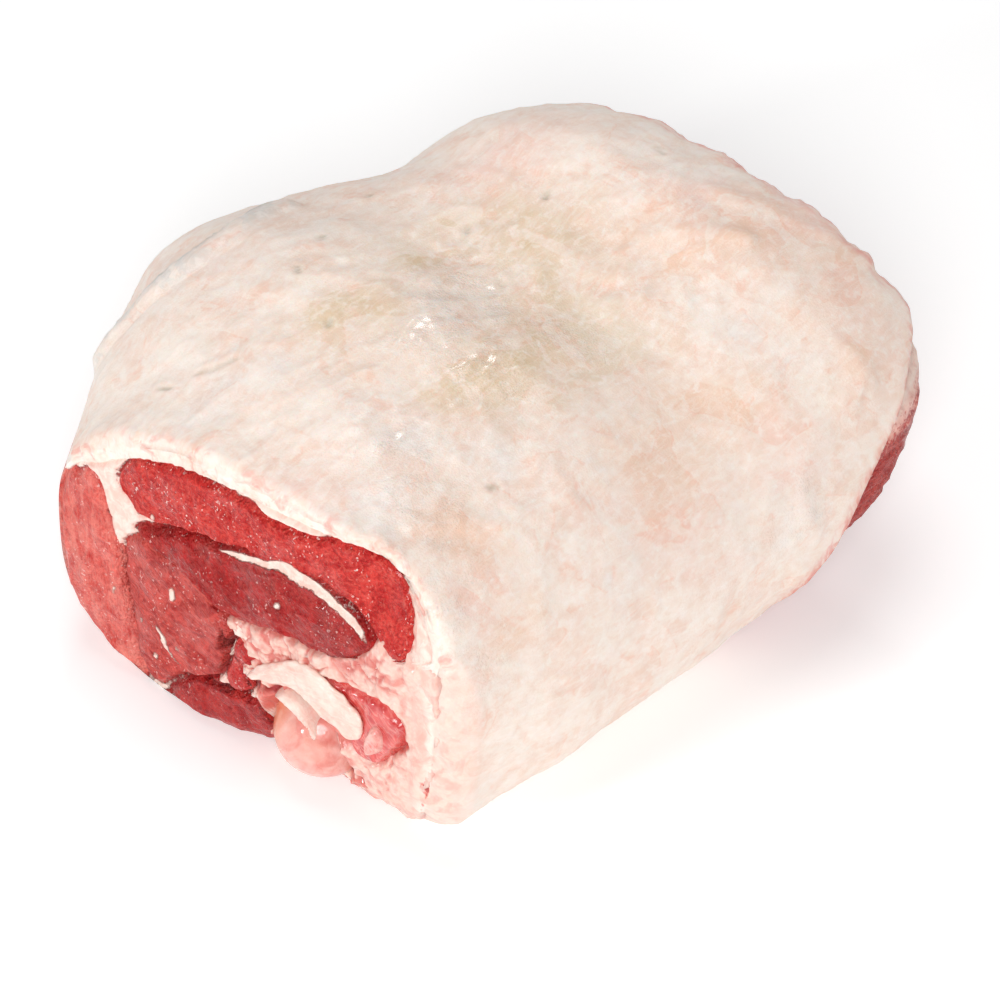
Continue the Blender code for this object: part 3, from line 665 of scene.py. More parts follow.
def cut_look(y, z):
    """Height of the cut face and the values that its finish needs."""
    spots = on_cut(y, z)
    wy = y + 1.0 * soft_noise(spots, 8, 41) + 0.3 * soft_noise(spots, 3, 42)
    wz = z + 1.0 * soft_noise(spots, 8, 43) + 0.3 * soft_noise(spots, 3, 44)
    look = {}
    height, seam, second = (np.full(len(y), OUTSIDE) for _ in range(3))
    rows = []
    for name, (bulge, rim, outline) in MUSCLES.items():
        within = inside_by(rounded(outline), wy, wz)
        look[name] = ease(within / 0.9 + 0.5)
        second = np.maximum(second, np.minimum(seam, within))
        seam = np.maximum(seam, within)
        rows.append((bulge, rim, within))
    # Deep seams only where two muscles meet; against white fat a muscle is almost flush.
    look["groove"] = ease((second + MEET_BY) / MEET_BLUR)
    groove = SHALLOW + (SEAM_DEPTH - SHALLOW) * look["groove"]
    for bulge, rim, within in rows:
        steep = np.sin(np.pi / 2 * np.clip(within / rim, 0, 1))
        cushion = -groove + (groove + bulge) * steep + 1.2 * ease(within / 13)
        height = np.maximum(height, np.where(within > 0, cushion, OUTSIDE))
    white = ease((-seam - 0.2) / 1.6)
    height = np.where(seam > 0, height, -groove + (groove + 1.2) * white)
    look["seam"] = seam
    look["sheath"] = along_line(SHEATH, SHEATH_WIDTH, wy, wz)
    look["streak"] = along_line(STREAK, STREAK_WIDTH, wy, wz)
    for sy, sz, size in SPECKS:
        look["streak"] = np.maximum(look["streak"], size - np.hypot(wy - sy, (wz - sz) * 0.75))
    hollows = [along_line(((a, b), (c, d)), (0.3, wide), wy, wz) for a, b, c, d, wide in HOLLOWS]
    look["hollow"] = np.max(hollows, axis=0)
    ridge = ease(look["sheath"] / 0.9 + 1.2)
    height += ridge * (0.5 + np.maximum(0, SHEATH_HEIGHT - height))
    height += 0.4 * ease(look["streak"] / 0.8 + 0.4) - HOLLOW_DEPTH * ease(look["hollow"] / 2.0 + 0.3)
    coarse = 0.8 * soft_noise(spots, 9, 45) + 0.5 * soft_noise(spots, 3.5, 46)
    coarse += 0.3 * soft_noise(spots, 1.7, 47)
    creased = 1 - np.abs(soft_noise(spots * (1, 0.35, 1), 6, 48))
    fibrous = look["inner"] + look["middle"] + look["far"]
    height += coarse * ease(seam / 3 + 0.2) + 0.5 * (creased**6 - 0.2) * fibrous
    return height, look


# %% [markdown]
# ## The lean meat
# The lean is one closed body: a fine disc for the hip cut, the sides, and a smaller disc for the knee cut.
# Where fat lies over it, it stays just under the fat. Its bare underside has the soft ridges of muscle.

# %% Build the lean meat
LEAN_COLUMNS, BARE_COLUMNS = 370, 80
HIP_RINGS, SIDE_ROWS, KNEE_RINGS = 130, 38, 32
UNDER_RIM, BY_PAD = 0.8, 0.9
SAWN_END, SAWN_Y, SAWN_Z, ROUND_BONE = 90.0, -10, 50, 17.5
FILM_FROM, FILM_WIDE = 60.0, 15.0


def build_lean():
    shares = np.concatenate((np.linspace(0, 1, LEAN_COLUMNS + 1), np.linspace(1, 2, BARE_COLUMNS + 1)[1:-1]))
    net = Net(shares)
    rows = np.concatenate((np.linspace(0, 1, SIDE_ROWS - 11), np.linspace(1, 2, 12)[1:]))
    x, angle, along = net.lay(rows)
    radius = dented_radius(x, angle)
    covered = shares <= 1
    past = np.clip(rows[:, None] - 1, 0, 1)
    trimmed = KNEE_TRIM * ease((angle - TRIM_FROM) / TRIM_RUN) * past
    depth = fat_depth(angle, along, x - net.hip_x, skin_radius(x, angle)) + GAP
    depth = np.where(covered, depth + trimmed, trimmed * (1 - ease((shares - 1) * 6)) * (shares < 1.4))
    flat = from_heart(x, angle, radius).reshape(-1, 3)
    bundles = 0.8 * soft_noise(flat, (30, 9, 9), 51) + 0.3 * soft_noise(flat, (9, 2.5, 2.5), 52)
    bare = np.where(covered, 0, ease((shares - 1) * 12) * ease((2 - shares) * 12)) * ease(rows[:, None] * 9)
    strands = 1.1 * soft_noise(flat, (9, 12, 2.6), 56) + 0.5 * soft_noise(flat, (3, 4, 1.2), 57)
    at_knee = np.where(covered, ease(past * 4), 0)
    above_floor = ease((from_heart(x, angle, radius)[..., 2] - 1.5) / 5)
    uneven = bundles.reshape(x.shape) * bare + strands.reshape(x.shape) * at_knee
    sides = from_heart(x, angle, radius - depth + uneven * above_floor)

    # The hip cut, as rings that grow from the heart of the leg.
    share = (np.arange(1, HIP_RINGS) / HIP_RINGS)[:, None]
    heart_y, heart_z = heart_line(HIP_X)
    y = heart_y + share * (sides[0, :, 1] - heart_y)
    z = heart_z + share * (sides[0, :, 2] - heart_z)
    height, look = cut_look(y.reshape(-1), z.reshape(-1))
    off_rim = ease((1 - share) * np.where(covered, 26, 12))
    by_pad = hill(y, z, -58, 84, 9, 13)
    height = height.reshape(y.shape) * off_rim - (UNDER_RIM - BY_PAD * by_pad) * (1 - off_rim)
    hip = np.stack((hip_plane(y, z) - height, y, z), axis=-1)
    middle_height, middle_look = cut_look(np.array([heart_y]), np.array([heart_z]))
    tip = np.array([[[hip_plane(heart_y, heart_z) - middle_height[0], heart_y, heart_z]]])

    # The knee cut, torn and streaked along its rim.
    knee_middle = sides[-1].mean(axis=0)
    share = (np.arange(1, KNEE_RINGS) / KNEE_RINGS)[:, None, None]
    knee = sides[-1] + share * (knee_middle - sides[-1])
    spots = knee.reshape(-1, 3)
    torn = 1.6 * soft_noise(spots, 16, 53) + 1.4 * soft_noise(spots, (3, 4, 12), 54)
    torn = (torn + 0.5 * soft_noise(spots, (1.5, 1.5, 5), 55)).reshape(knee.shape[:2])
    share = share[..., 0]
    knee[..., 0] += KNEE_BULGE * np.sqrt(1 - (1 - share) ** 2) + torn * ease(share * 8)
    # A torn film of fat hangs over the top of the rim: above 0 on the film, in millimetres.
    film = np.minimum(knee[..., 2] - FILM_FROM, FILM_WIDE - np.linalg.norm(knee - sides[-1], axis=2))
    beside_bone = ease((ROUND_BONE - np.hypot(knee[..., 1] - SAWN_Y, knee[..., 2] - SAWN_Z)) / 4)
    knee[..., 0] += (SAWN_END - 1.6 - knee[..., 0]) * beside_bone
    knee_tip = knee[-1].mean(axis=0)[None, None]

    sheet = Sheet()
    centre = sheet.rows(tip)[0, 0]
    hip_rows = sheet.rows(hip)
    side_rows = sheet.rows(sides)
    knee_rows = sheet.rows(knee)
    end = sheet.rows(knee_tip)[0, 0]
    sheet.fill(np.concatenate((hip_rows, side_rows, knee_rows)), around=True)
    ring, last = hip_rows[0], knee_rows[-1]
    sheet.faces += [[centre, b, a] for a, b in zip(ring.tolist(), np.roll(ring, -1).tolist())]
    sheet.faces += [[a, b, end] for a, b in zip(last.tolist(), np.roll(last, -1).tolist())]

    # Values for the finish. Off the cut, outlines count as far away.
    def paint(on_tip, on_hip, on_sides, on_knee):
        parts = on_tip + np.zeros(1), on_hip + 0 * y, on_sides + 0 * x, on_knee + np.zeros(knee.shape[:2])
        return np.concatenate([part.reshape(-1) for part in parts] + [np.reshape(parts[-1], -1)[-1:]])

    far_away = {name: OUTSIDE for name in ("sheath", "streak", "hollow")}
    far_away["seam"] = -OUTSIDE
    at_rim = 1 - ease((rows[:, None] - 0.08) * 12)
    paints = {}
    for name, values in look.items():
        plain, values = far_away.get(name, 0.0), values.reshape(y.shape)
        paints[name] = paint(middle_look[name], values, plain + (values[-1] - plain) * at_rim, plain)
    paints["bare_side"] = paint(0.0, 0.0, np.where(covered, 0.0, 1.0) * (1 - past), 0.0)
    paints["knee_cut"] = paint(0.0, 0.0, past, 1.0)
    over_rim = np.where(past > 0.01, sides[..., 2] - FILM_FROM, OUTSIDE)
    paints["edge_film"] = paint(OUTSIDE, OUTSIDE, over_rim, film)
    paints["edge_film"][-1] = OUTSIDE
    return sheet.make("lean_muscles", paints)


lean = build_lean()
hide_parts("lean_meat")

# %% [markdown]
# ## Tools for finishes
# A finish is a small network of shader nodes. These helpers add a node and link or set its inputs in one go,
# and work in millimetres. Colours are given as they look on a screen, from 0 to 255.

# %% Shader helpers
def seen(red, green, blue):
    """A colour as seen on a screen, turned into the linear values that shaders use."""
    shares = [c / 255 for c in (red, green, blue)]
    linear = [c / 12.92 if c < 0.0403 else ((c + 0.055) / 1.055) ** 2.4 for c in shares]
    return (*linear, 1.0)


def put(tree, socket, value):
    if isinstance(value, bpy.types.NodeSocket):
        tree.links.new(value, socket)
    else:
        socket.default_value = value


def add(tree, kind, settings=None, **inputs):
    """A new node. settings are its options; inputs are sockets by name, with _ for a space."""
    made = tree.nodes.new(kind)
    for key, value in (settings or {}).items():
        setattr(made, key, value)
    for key, value in inputs.items():
        put(tree, made.inputs[key.replace("_", " ")], value)
    return made


def sums(tree, operation, a, b=0.0, c=None):
    made = tree.nodes.new("ShaderNodeMath")
    made.operation = operation
    for socket, value in zip(made.inputs, (a, b, c)):
        if value is not None:
            put(tree, socket, value)
    return made.outputs[0]


def without(tree, value):
    """1 less the value."""
    return sums(tree, "SUBTRACT", 1.0, value)


def times(tree, first, *more):
    for factor in more:
        first = sums(tree, "MULTIPLY", first, factor)
    return first


def between(tree, value, low, high, out_low=0.0, out_high=1.0):
    """Turns low..high into out_low..out_high with a smooth S, and holds it there beyond."""
    made = add(tree, "ShaderNodeMapRange", {"interpolation_type": "SMOOTHSTEP"}, Value=value)
    for socket, number in zip(("From Min", "From Max", "To Min", "To Max"), (low, high, out_low, out_high)):
        made.inputs[socket].default_value = number
    return made.outputs[0]


def blend(tree, share, a, b):
    """Mixes two colours."""
    made = tree.nodes.new("ShaderNodeMix")
    made.data_type = "RGBA"
    put(tree, made.inputs[0], share)
    put(tree, made.inputs[6], a)
    put(tree, made.inputs[7], b)
    return made.outputs[2]


def wash(tree, colour, *layers):
    """Lays colours over one another, each by its share and as seen on a screen."""
    for share, shade in layers:
        colour = blend(tree, share, colour, seen(*shade))
    return colour


def stored(tree, name):
    return add(tree, "ShaderNodeAttribute", {"attribute_name": name}).outputs["Fac"]


def millimetres(tree, stretch=(1, 1, 1), turn=0.0):
    """Place on the piece in millimetres, turned by degrees about the leg's axis, then divided by stretch."""
    place = tree.nodes.new("ShaderNodeTexCoord").outputs["Object"]
    if turn:
        about_x = {"rotation_type": "X_AXIS"}
        place = add(tree, "ShaderNodeVectorRotate", about_x, Vector=place, Angle=radians(turn)).outputs[0]
    made = add(tree, "ShaderNodeVectorMath", {"operation": "MULTIPLY"})
    tree.links.new(place, made.inputs[0])
    made.inputs[1].default_value = [1000 / s for s in stretch]
    return made.outputs[0]


def speckle(tree, place, size, detail=3.0, rough=0.55, bent=0.0):
    """Noise from 0 to 1 with features about size millimetres across."""
    made = add(tree, "ShaderNodeTexNoise", Vector=place, Scale=1 / size, Detail=detail)
    made.inputs["Roughness"].default_value = rough
    made.inputs["Distortion"].default_value = bent
    return made.outputs[0]


def new_finish(name):
    made = bpy.data.materials.new(name)
    made.use_nodes = True
    tree = made.node_tree
    return made, tree, tree.nodes["Principled BSDF"]


def set_plain(shader, **values):
    """Values that are the same all over."""
    for name, value in values.items():
        shader.inputs[name.replace("_", " ")].default_value = value


# %% [markdown]
# ## Shared effects
# Raw fat, lean and gristle all carry a thin film of juice over a fine grain, so light breaks up into small
# glints. That grain is made once, as a node group with a size. A second group makes threads that run one way,
# for the fibres of muscle and the silky lines in fat.

# %% Node groups for wet grain and fibres
def new_group(name, outputs):
    """An empty group with a place and a size going in, and the named numbers coming out."""
    group = bpy.data.node_groups.new(name, "ShaderNodeTree")
    group.interface.new_socket("Place", in_out="INPUT", socket_type="NodeSocketVector")
    group.interface.new_socket("Size", in_out="INPUT", socket_type="NodeSocketFloat").default_value = 1.0
    for socket in outputs:
        group.interface.new_socket(socket, in_out="OUTPUT", socket_type="NodeSocketFloat")
    return group, group.nodes.new("NodeGroupInput").outputs, group.nodes.new("NodeGroupOutput").inputs


def make_wet_grain():
    group, given, out = new_group("wet grain", ("Height", "Wetness"))
    place, scale = given["Place"], sums(group, "DIVIDE", 1.0, given["Size"])
    fine = add(group, "ShaderNodeTexNoise", Vector=place, Scale=scale, Detail=2.0, Roughness=0.65)
    group.links.new(fine.outputs[0], out["Height"])
    wide = add(group, "ShaderNodeTexNoise", Vector=place, Scale=times(group, scale, 0.09), Detail=3.0)
    group.links.new(between(group, wide.outputs[0], 0.44, 0.6), out["Wetness"])
    return group


def make_fibres():
    group, given, out = new_group("fibres", ("Threads", "Height"))
    place, scale = given["Place"], sums(group, "DIVIDE", 1.0, given["Size"])
    threads = add(group, "ShaderNodeTexNoise", Vector=place, Scale=scale, Detail=2.5, Roughness=0.65)
    threads.inputs["Distortion"].default_value = 0.5
    ridge = sums(group, "ABSOLUTE", sums(group, "SUBTRACT", threads.outputs[0], 0.5))
    group.links.new(between(group, ridge, 0.0, 0.08, 1.0, 0.0), out["Threads"])
    group.links.new(threads.outputs[0], out["Height"])
    return group


WET_GRAIN, FIBRES = make_wet_grain(), make_fibres()


def use(tree, group, place, size):
    made = tree.nodes.new("ShaderNodeGroup")
    made.node_tree = group
    put(tree, made.inputs["Place"], place)
    put(tree, made.inputs["Size"], size)
    return made.outputs


def wet_film(tree, shader, wetness, roughness, coat):
    """A film of juice: roughness and coat where the wetness is 0 and where it is 1."""
    put(tree, shader.inputs["Roughness"], between(tree, wetness, 0, 1, *roughness))
    put(tree, shader.inputs["Coat Weight"], between(tree, wetness, 0, 1, *coat))


def roughen(tree, shader, height, strength, depth):
    """Fine relief too small for the mesh. depth is in millimetres."""
    bump = add(tree, "ShaderNodeBump", Strength=strength, Distance=depth * 0.001, Height=height)
    tree.links.new(bump.outputs[0], shader.inputs["Normal"])


# %% [markdown]
# ## The fat's finish
# Lamb fat is cream white, waxy and a little see-through. Over it lie soft tints of olive, beige, pink and blue
# grey, pale silky strands, and a wet grain that glitters in patches. The soft fat round the joint is creamier
# and wetter, with red where juice gathers in its crevices.

# %% Fat
FAT_TINTS = {
    "olive": ((227, 201, 168), 0.9), "beige": ((240, 198, 168), 0.65), "pink": ((248, 203, 190), 0.55),
    "blue": ((232, 229, 226), 0.55), "white": ((254, 241, 232), 0.45), "flap": ((206, 206, 202), 0.55),
}


def make_fat():
    finish, tree, skin = new_finish("lamb fat")
    place = millimetres(tree)
    strands = use(tree, FIBRES, millimetres(tree, (4, 1.2, 1.2)), 3.0)
    grain = use(tree, WET_GRAIN, place, 0.7)
    cloudy = speckle(tree, place, 13, 3, 0.62, 0.6)
    mottled = speckle(tree, place, 3.0, 2, 0.62, 0.3)
    films = speckle(tree, place, 24, 3, 0.55, 1.1)
    layer = between(tree, films, 0.495, 0.525)
    broken = sums(tree, "MULTIPLY_ADD", layer, -0.2, between(tree, cloudy, 0.3, 0.65, 1.2, 0.8))
    border = sums(tree, "ABSOLUTE", sums(tree, "SUBTRACT", films, 0.5))
    edged = times(tree, between(tree, border, 0.0, 0.035, 0.32, 0.0), between(tree, cloudy, 0.45, 0.6))
    colour = blend(tree, between(tree, cloudy, 0.38, 0.64), seen(249, 231, 219), seen(244, 216, 200))
    for tint, (shade, strength) in FAT_TINTS.items():
        colour = wash(tree, colour, (times(tree, stored(tree, tint), broken, strength), shade))
    colour = wash(
        tree, colour,
        (times(tree, layer, 0.35), (252, 234, 222)),
        (edged, (246, 192, 168)),
        (between(tree, mottled, 0.5, 0.7, 0, 0.4), (254, 243, 235)),
        (between(tree, mottled, 0.32, 0.46, 0.22, 0.0), (236, 200, 178)),
        (times(tree, strands["Threads"], 0.2), (255, 247, 241)),
    )

    # Soft fat round the joint, with juice in its crevices and in its slit, and juice on the pale rim.
    pad, smooth, rim, crevice = (stored(tree, name) for name in ("pad", "smooth", "cut_rim", "crevice"))
    creamy = blend(tree, between(tree, mottled, 0.35, 0.65), seen(247, 207, 193), seen(238, 178, 162))
    curdled = times(tree, pad, without(tree, times(tree, smooth, 0.8)))
    juicy = between(tree, speckle(tree, place, 7, 3, 0.55, 1.2), 0.5, 0.72)
    ragged = between(tree, speckle(tree, place, 1.8, 3, 0.6, 0.8), 0.2, 0.8, -1.5, 1.5)
    slit = sums(tree, "ADD", sums(tree, "SUBTRACT", stored(tree, "slit"), NEAR_SLIT), ragged)
    colour = blend(tree, times(tree, pad, 0.8), colour, creamy)
    colour = wash(
        tree, colour,
        (times(tree, juicy, curdled, 0.65), (222, 104, 92)),
        (times(tree, pad, smooth, juicy, 0.35), (240, 160, 142)),
        (between(tree, crevice, 0.1, 1.0, 0.0, 0.8), (212, 88, 78)),
        (between(tree, crevice, 1.0, 1.9, 0.0, 0.9), (158, 22, 26)),
        (times(tree, rim, without(tree, pad), juicy, 0.6), (232, 134, 118)),
        (between(tree, slit, -1.3, 0.2, 0.0, 0.75), (226, 110, 96)),
        (between(tree, slit, 0.0, 1.0, 0.0, 0.85), (166, 28, 30)),
    )

    # The torn edge at the knee is red with meat, and nicks are grey.
    along_edge = speckle(tree, millimetres(tree, (1, 3, 3)), 2.6, 3, 0.6, 0.4)
    torn = times(tree, stored(tree, "torn_end"), between(tree, along_edge, 0.36, 0.62, 1.0, 0.15))
    nick = times(tree, stored(tree, "nick"), 0.6)
    colour = wash(tree, colour, (torn, (226, 124, 110)), (nick, (176, 168, 144)))
    put(tree, skin.inputs["Base Color"], colour)
    glitter = sums(tree, "MAXIMUM", stored(tree, "glitter"), pad)
    wet = times(tree, glitter, between(tree, grain["Wetness"], 0, 1, 0.45, 1.0))
    wet_film(tree, skin, wet, (0.5, 0.34), (0.06, 0.7))
    set_plain(skin, Subsurface_Weight=0.3, Subsurface_Radius=(1.0, 0.55, 0.4), Subsurface_Scale=0.0035)
    set_plain(skin, Coat_Roughness=0.14, Specular_IOR_Level=0.4)
    silky = times(tree, strands["Height"], 0.6)
    relief = sums(tree, "MULTIPLY_ADD", grain["Height"], between(tree, wet, 0, 1, 0.35, 1.6), silky)
    roughen(tree, skin, relief, 0.7, 0.45)
    return finish


fat.data.materials.append(make_fat())

# %% [markdown]
# ## The lean's finish
# Fresh lamb is a clear, rather dark red. The upper muscle is the brightest and most granular, as its fibres
# are cut across. The middle one is darker and glossy, the inner one browner, and the far one paler with fibres
# in its plane.

# %% Lean
MUSCLE_REDS = {
    "upper": (seen(194, 28, 28), seen(230, 70, 62)), "middle": (seen(146, 8, 12), seen(186, 26, 27)),
    "inner": (seen(164, 36, 36), seen(216, 82, 74)), "strip": (seen(156, 14, 20), seen(196, 46, 42)),
    "lobe": (seen(190, 34, 38), seen(222, 80, 74)), "far": (seen(202, 58, 52), seen(236, 112, 100)),
}


def make_lean():
    finish, tree, meat = new_finish("raw lean lamb")
    place = millimetres(tree)
    grain = use(tree, WET_GRAIN, place, 1.3)
    flat_fibres = use(tree, FIBRES, millimetres(tree, (2, 7, 1), -28), 1.1)
    upright = use(tree, FIBRES, millimetres(tree, (2, 1, 7), 12), 0.9)
    patches = between(tree, speckle(tree, place, 5, 3, 0.66, 0.7), 0.3, 0.7)
    colour = blend(tree, patches, seen(172, 40, 40), seen(204, 74, 66))
    for muscle, (dark, light) in MUSCLE_REDS.items():
        colour = blend(tree, stored(tree, muscle), colour, blend(tree, patches, dark, light))

    # Fibres, grain tone with painted light and shade, painted highlights; then the knee cut, and silverskin
    # below.
    upper, far, knee = (stored(tree, name) for name in ("upper", "far", "knee_cut"))
    lengthwise = sums(tree, "MULTIPLY_ADD", stored(tree, "middle"), 0.5, stored(tree, "inner"))
    streaky = between(tree, speckle(tree, millimetres(tree, (2, 5, 1), -28), 4.0, 2, 0.6, 0.5), 0.45, 0.75)
    tall = between(tree, speckle(tree, millimetres(tree, (2, 1, 5), 12), 3.0, 2, 0.6, 0.5), 0.42, 0.7)
    # Partly the grain's own tone, partly painted light and shade: lighter on the tops of the bump's noise,
    # darker in its hollows.
    grain_light_and_shade = sums(tree, "MULTIPLY_ADD", upper, 0.22, 0.14)
    # Painted highlights: small pale specks, bunched in clusters and most on the upper muscle, stand in for wet
    # glints.
    painted_glints = between(tree, speckle(tree, place, 0.9, 1, 0.5), 0.63, 0.7)
    glint_clusters = between(tree, speckle(tree, place, 8, 2, 0.6, 0.6), 0.44, 0.6, 0.0, 0.85)
    glint_clusters = times(tree, glint_clusters, sums(tree, "MULTIPLY_ADD", upper, 0.5, 0.6))
    silver = between(tree, speckle(tree, millimetres(tree, (3, 1, 1)), 10, 4, 0.6, 0.5), 0.42, 0.62)
    colour = wash(
        tree, colour,
        (times(tree, lengthwise, streaky, 0.4), (214, 104, 92)),
        (times(tree, lengthwise, flat_fibres["Threads"], 0.1), (232, 140, 126)),
        (times(tree, far, tall, 0.45), (242, 150, 136)),
        (times(tree, far, upright["Threads"], 0.14), (250, 196, 184)),
        (times(tree, grain_light_and_shade, between(tree, grain["Height"], 0.5, 0.66)), (238, 116, 100)),
        (times(tree, grain_light_and_shade, between(tree, grain["Height"], 0.34, 0.5, 1.0, 0.0)), (140, 16, 20)),
        (times(tree, painted_glints, glint_clusters), (255, 222, 214)),
        (times(tree, knee, between(tree, flat_fibres["Height"], 0.4, 0.6), 0.75), (214, 104, 92)),
        (times(tree, knee, flat_fibres["Threads"], 0.5), (150, 22, 28)),
        (times(tree, stored(tree, "bare_side"), silver, 0.75), (230, 192, 182)),
    )
    wobble = between(tree, speckle(tree, place, 1.5, 2, 0.6), 0.25, 0.75, -0.6, 0.6)

    def edge(name, low, high, ragged=1.0):
        return between(tree, sums(tree, "MULTIPLY_ADD", wobble, ragged, stored(tree, name)), low, high)

    # Painted shade in the deep seams where two muscles meet, and white fat where they lie further apart.
    near, beyond = edge("seam", -1.2, -0.5), edge("seam", -0.1, 0.9)
    dark = times(tree, near, without(tree, beyond), stored(tree, "groove"))
    colour = wash(tree, colour, (times(tree, dark, 0.6), (128, 16, 20)))
    milky = between(tree, speckle(tree, place, 3, 4, 0.6, 0.6), 0.36, 0.66)
    white = blend(tree, milky, seen(254, 232, 220), seen(248, 206, 192))
    pale = without(tree, edge("seam", -1.0, -0.2))
    for strip, low, high in (("sheath", -0.05, 0.35), ("streak", -0.3, 0.3)):
        pale = sums(tree, "MAXIMUM", pale, edge(strip, low, high, 0.25))
    colour = blend(tree, times(tree, pale, 0.94), colour, white)
    # The torn film of fat at the knee has red streaks near its edge.
    film = edge("edge_film", -2, 4, 6.0)
    streaked = times(tree, film, between(tree, tall, 0, 1, 1.0, 0.75))
    film_colour = blend(tree, edge("edge_film", 0, 8), seen(244, 176, 160), seen(250, 222, 208))
    colour = blend(tree, streaked, colour, film_colour)
    # Painted shade: the carved hollows are darkened to a deep, almost black red.
    colour = wash(tree, colour, (times(tree, edge("hollow", -0.5, 1.2), 0.85), (92, 18, 18)))
    put(tree, meat.inputs["Base Color"], colour)
    wet_film(tree, meat, grain["Wetness"], (0.5, 0.34), (0.06, 0.4))
    set_plain(meat, Subsurface_Weight=0.1, Subsurface_Radius=(1.0, 0.25, 0.2), Subsurface_Scale=0.002)
    set_plain(meat, Coat_Roughness=0.1, Specular_IOR_Level=0.2)
    # Where the fibres lie in the cut's plane it is smoother, with long low ridges in place of grains.
    laid = sums(tree, "MULTIPLY_ADD", far, 0.6, lengthwise)
    fewer_grains = times(tree, grain["Height"], sums(tree, "MULTIPLY_ADD", laid, -0.6, 1.0))
    ridges = sums(tree, "MULTIPLY_ADD", lengthwise, 0.4, 0.35)
    relief = sums(tree, "MULTIPLY_ADD", flat_fibres["Height"], ridges, fewer_grains)
    under_film = between(tree, stored(tree, "edge_film"), -5.0, 1.0, 0.0, 0.9)
    plain = sums(tree, "MAXIMUM", times(tree, pale, 0.85), under_film)
    relief = times(tree, relief, without(tree, plain))
    roughen(tree, meat, relief, 1.0, 2.2)
    return finish


lean.data.materials.append(make_lean())

# %% [markdown]
# ## The thigh bone
# The ball of the thigh bone sits in the pad of fat, pink and glassy under its gristle. From there the bone runs
# through the meat to its sawn end at the knee. It is a row of rings along a bent line.

# %% Build the bone
BONE_LINE = np.array((
    (-99, -19.5, 16), (-80, -14, 24), (-52, -8, 35), (-15, -4, 44), (30, -6, 49), (60, -9, 50),
    (SAWN_END, SAWN_Y, SAWN_Z),
), float)
BALL, NECK, SHAFT, KNEE_END = 14.6, 8.0, 9.5, 13.5
NECK_ENDS, BROADENS = 25, 40
BONE_SIDES, BALL_RINGS, BONE_RINGS = 84, 30, 120


def build_bone():
    gone = way_along(BONE_LINE)
    length = gone[-1]
    on_front = -BALL * np.cos(np.linspace(0.12, np.pi / 2, BALL_RINGS))[:-1]
    s = np.concatenate((on_front, np.linspace(0, length, BONE_RINGS)))
    line = np.stack([curve(gone, BONE_LINE[:, k], np.clip(s, 0, None)) for k in range(3)], axis=1)
    ahead = line[BALL_RINGS - 1] - line[BALL_RINGS + 1]
    line += np.clip(-s, 0, None)[:, None] * (ahead / np.linalg.norm(ahead))
    ball = np.sqrt(np.clip(BALL**2 - s**2, 0, None))
    neck = NECK + (SHAFT - NECK) * ease((s - NECK_ENDS) / BROADENS)
    neck += (KNEE_END - SHAFT) * ease(1 - (length - s) / BROADENS)
    radius = np.where(s < 0, ball, (ball**4 + neck**4) ** 0.25)
    along = np.gradient(line, axis=0)
    along /= np.linalg.norm(along, axis=1)[:, None]
    across = np.cross(along, (0, 0, 1))
    across /= np.linalg.norm(across, axis=1)[:, None]
    up = np.cross(across, along)
    turn = np.linspace(0, 2 * np.pi, BONE_SIDES, endpoint=False)
    around = across[:, None] * np.cos(turn)[:, None] + up[:, None] * np.sin(turn)[:, None]
    away = radius[:, None, None] * around
    worn = 1 + 0.03 * soft_noise((line[:, None] + away).reshape(-1, 3), 9, 71).reshape(away.shape[:2])
    rings = line[:, None] + away * worn[..., None]
    rings[..., 2] = np.maximum(rings[..., 2], 0.3)
    # The sawn end has a hard pale rim and red marrow inside.
    sawn = [line[-1] + (rings[-1] - line[-1]) * share for share in (0.94, 0.8, 0.72, 0.4)]
    rings = np.concatenate((rings, sawn))
    sheet = Sheet()
    sheet.tube(rings, flip=True)
    on_ball = np.repeat(np.concatenate((1 - ease((s - 6) / 10), np.zeros(4))), BONE_SIDES)
    far_edge = ease((rings[..., 1].reshape(-1) + 16.5) / 6)
    marrow = np.repeat(np.concatenate((0 * s, (0, 0, 1, 1))), BONE_SIDES)
    return sheet.make("thigh_bone_ball", {"ball": on_ball, "far_edge": far_edge, "marrow": marrow})


bone = build_bone()
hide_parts("thigh_bone")


def make_bone():
    finish, tree, gristle = new_finish("bone under gristle")
    place = millimetres(tree)
    grain = use(tree, WET_GRAIN, place, 1.6)
    patches = between(tree, speckle(tree, place, 10, 3, 0.5, 0.8), 0.35, 0.65)
    veil = between(tree, speckle(tree, millimetres(tree, (1, 1, 3), -35), 7, 3, 0.55, 0.6), 0.4, 0.66)
    colour = blend(tree, patches, seen(238, 172, 158), seen(222, 126, 114))
    far_edge = times(tree, stored(tree, "far_edge"), 0.75)
    colour = wash(tree, colour, (times(tree, veil, 0.5), (246, 212, 200)), (far_edge, (236, 142, 98)))
    colour = blend(tree, stored(tree, "ball"), seen(236, 206, 190), colour)
    pores = between(tree, speckle(tree, place, 1.6, 2, 0.6), 0.4, 0.6)
    marrow = blend(tree, pores, seen(150, 40, 36), seen(214, 128, 108))
    colour = blend(tree, stored(tree, "marrow"), colour, marrow)
    put(tree, gristle.inputs["Base Color"], colour)
    put(tree, gristle.inputs["Roughness"], between(tree, grain["Wetness"], 0, 1, 0.34, 0.22))
    set_plain(gristle, Subsurface_Weight=0.3, Subsurface_Radius=(1.0, 0.4, 0.3), Subsurface_Scale=0.0035)
    set_plain(gristle, Coat_Weight=0.6, Coat_Roughness=0.08)
    roughen(tree, gristle, grain["Height"], 0.35, 0.5)
    return finish


bone.data.materials.append(make_bone())

# %% [markdown]
# ## The strap of sinew
# A flat ivory band lies over the joint. It starts as a thin tip, broadens, and ends by the ball of the bone.
# It is an oval section carried along a bent line, with ridges lengthwise and a frayed edge.

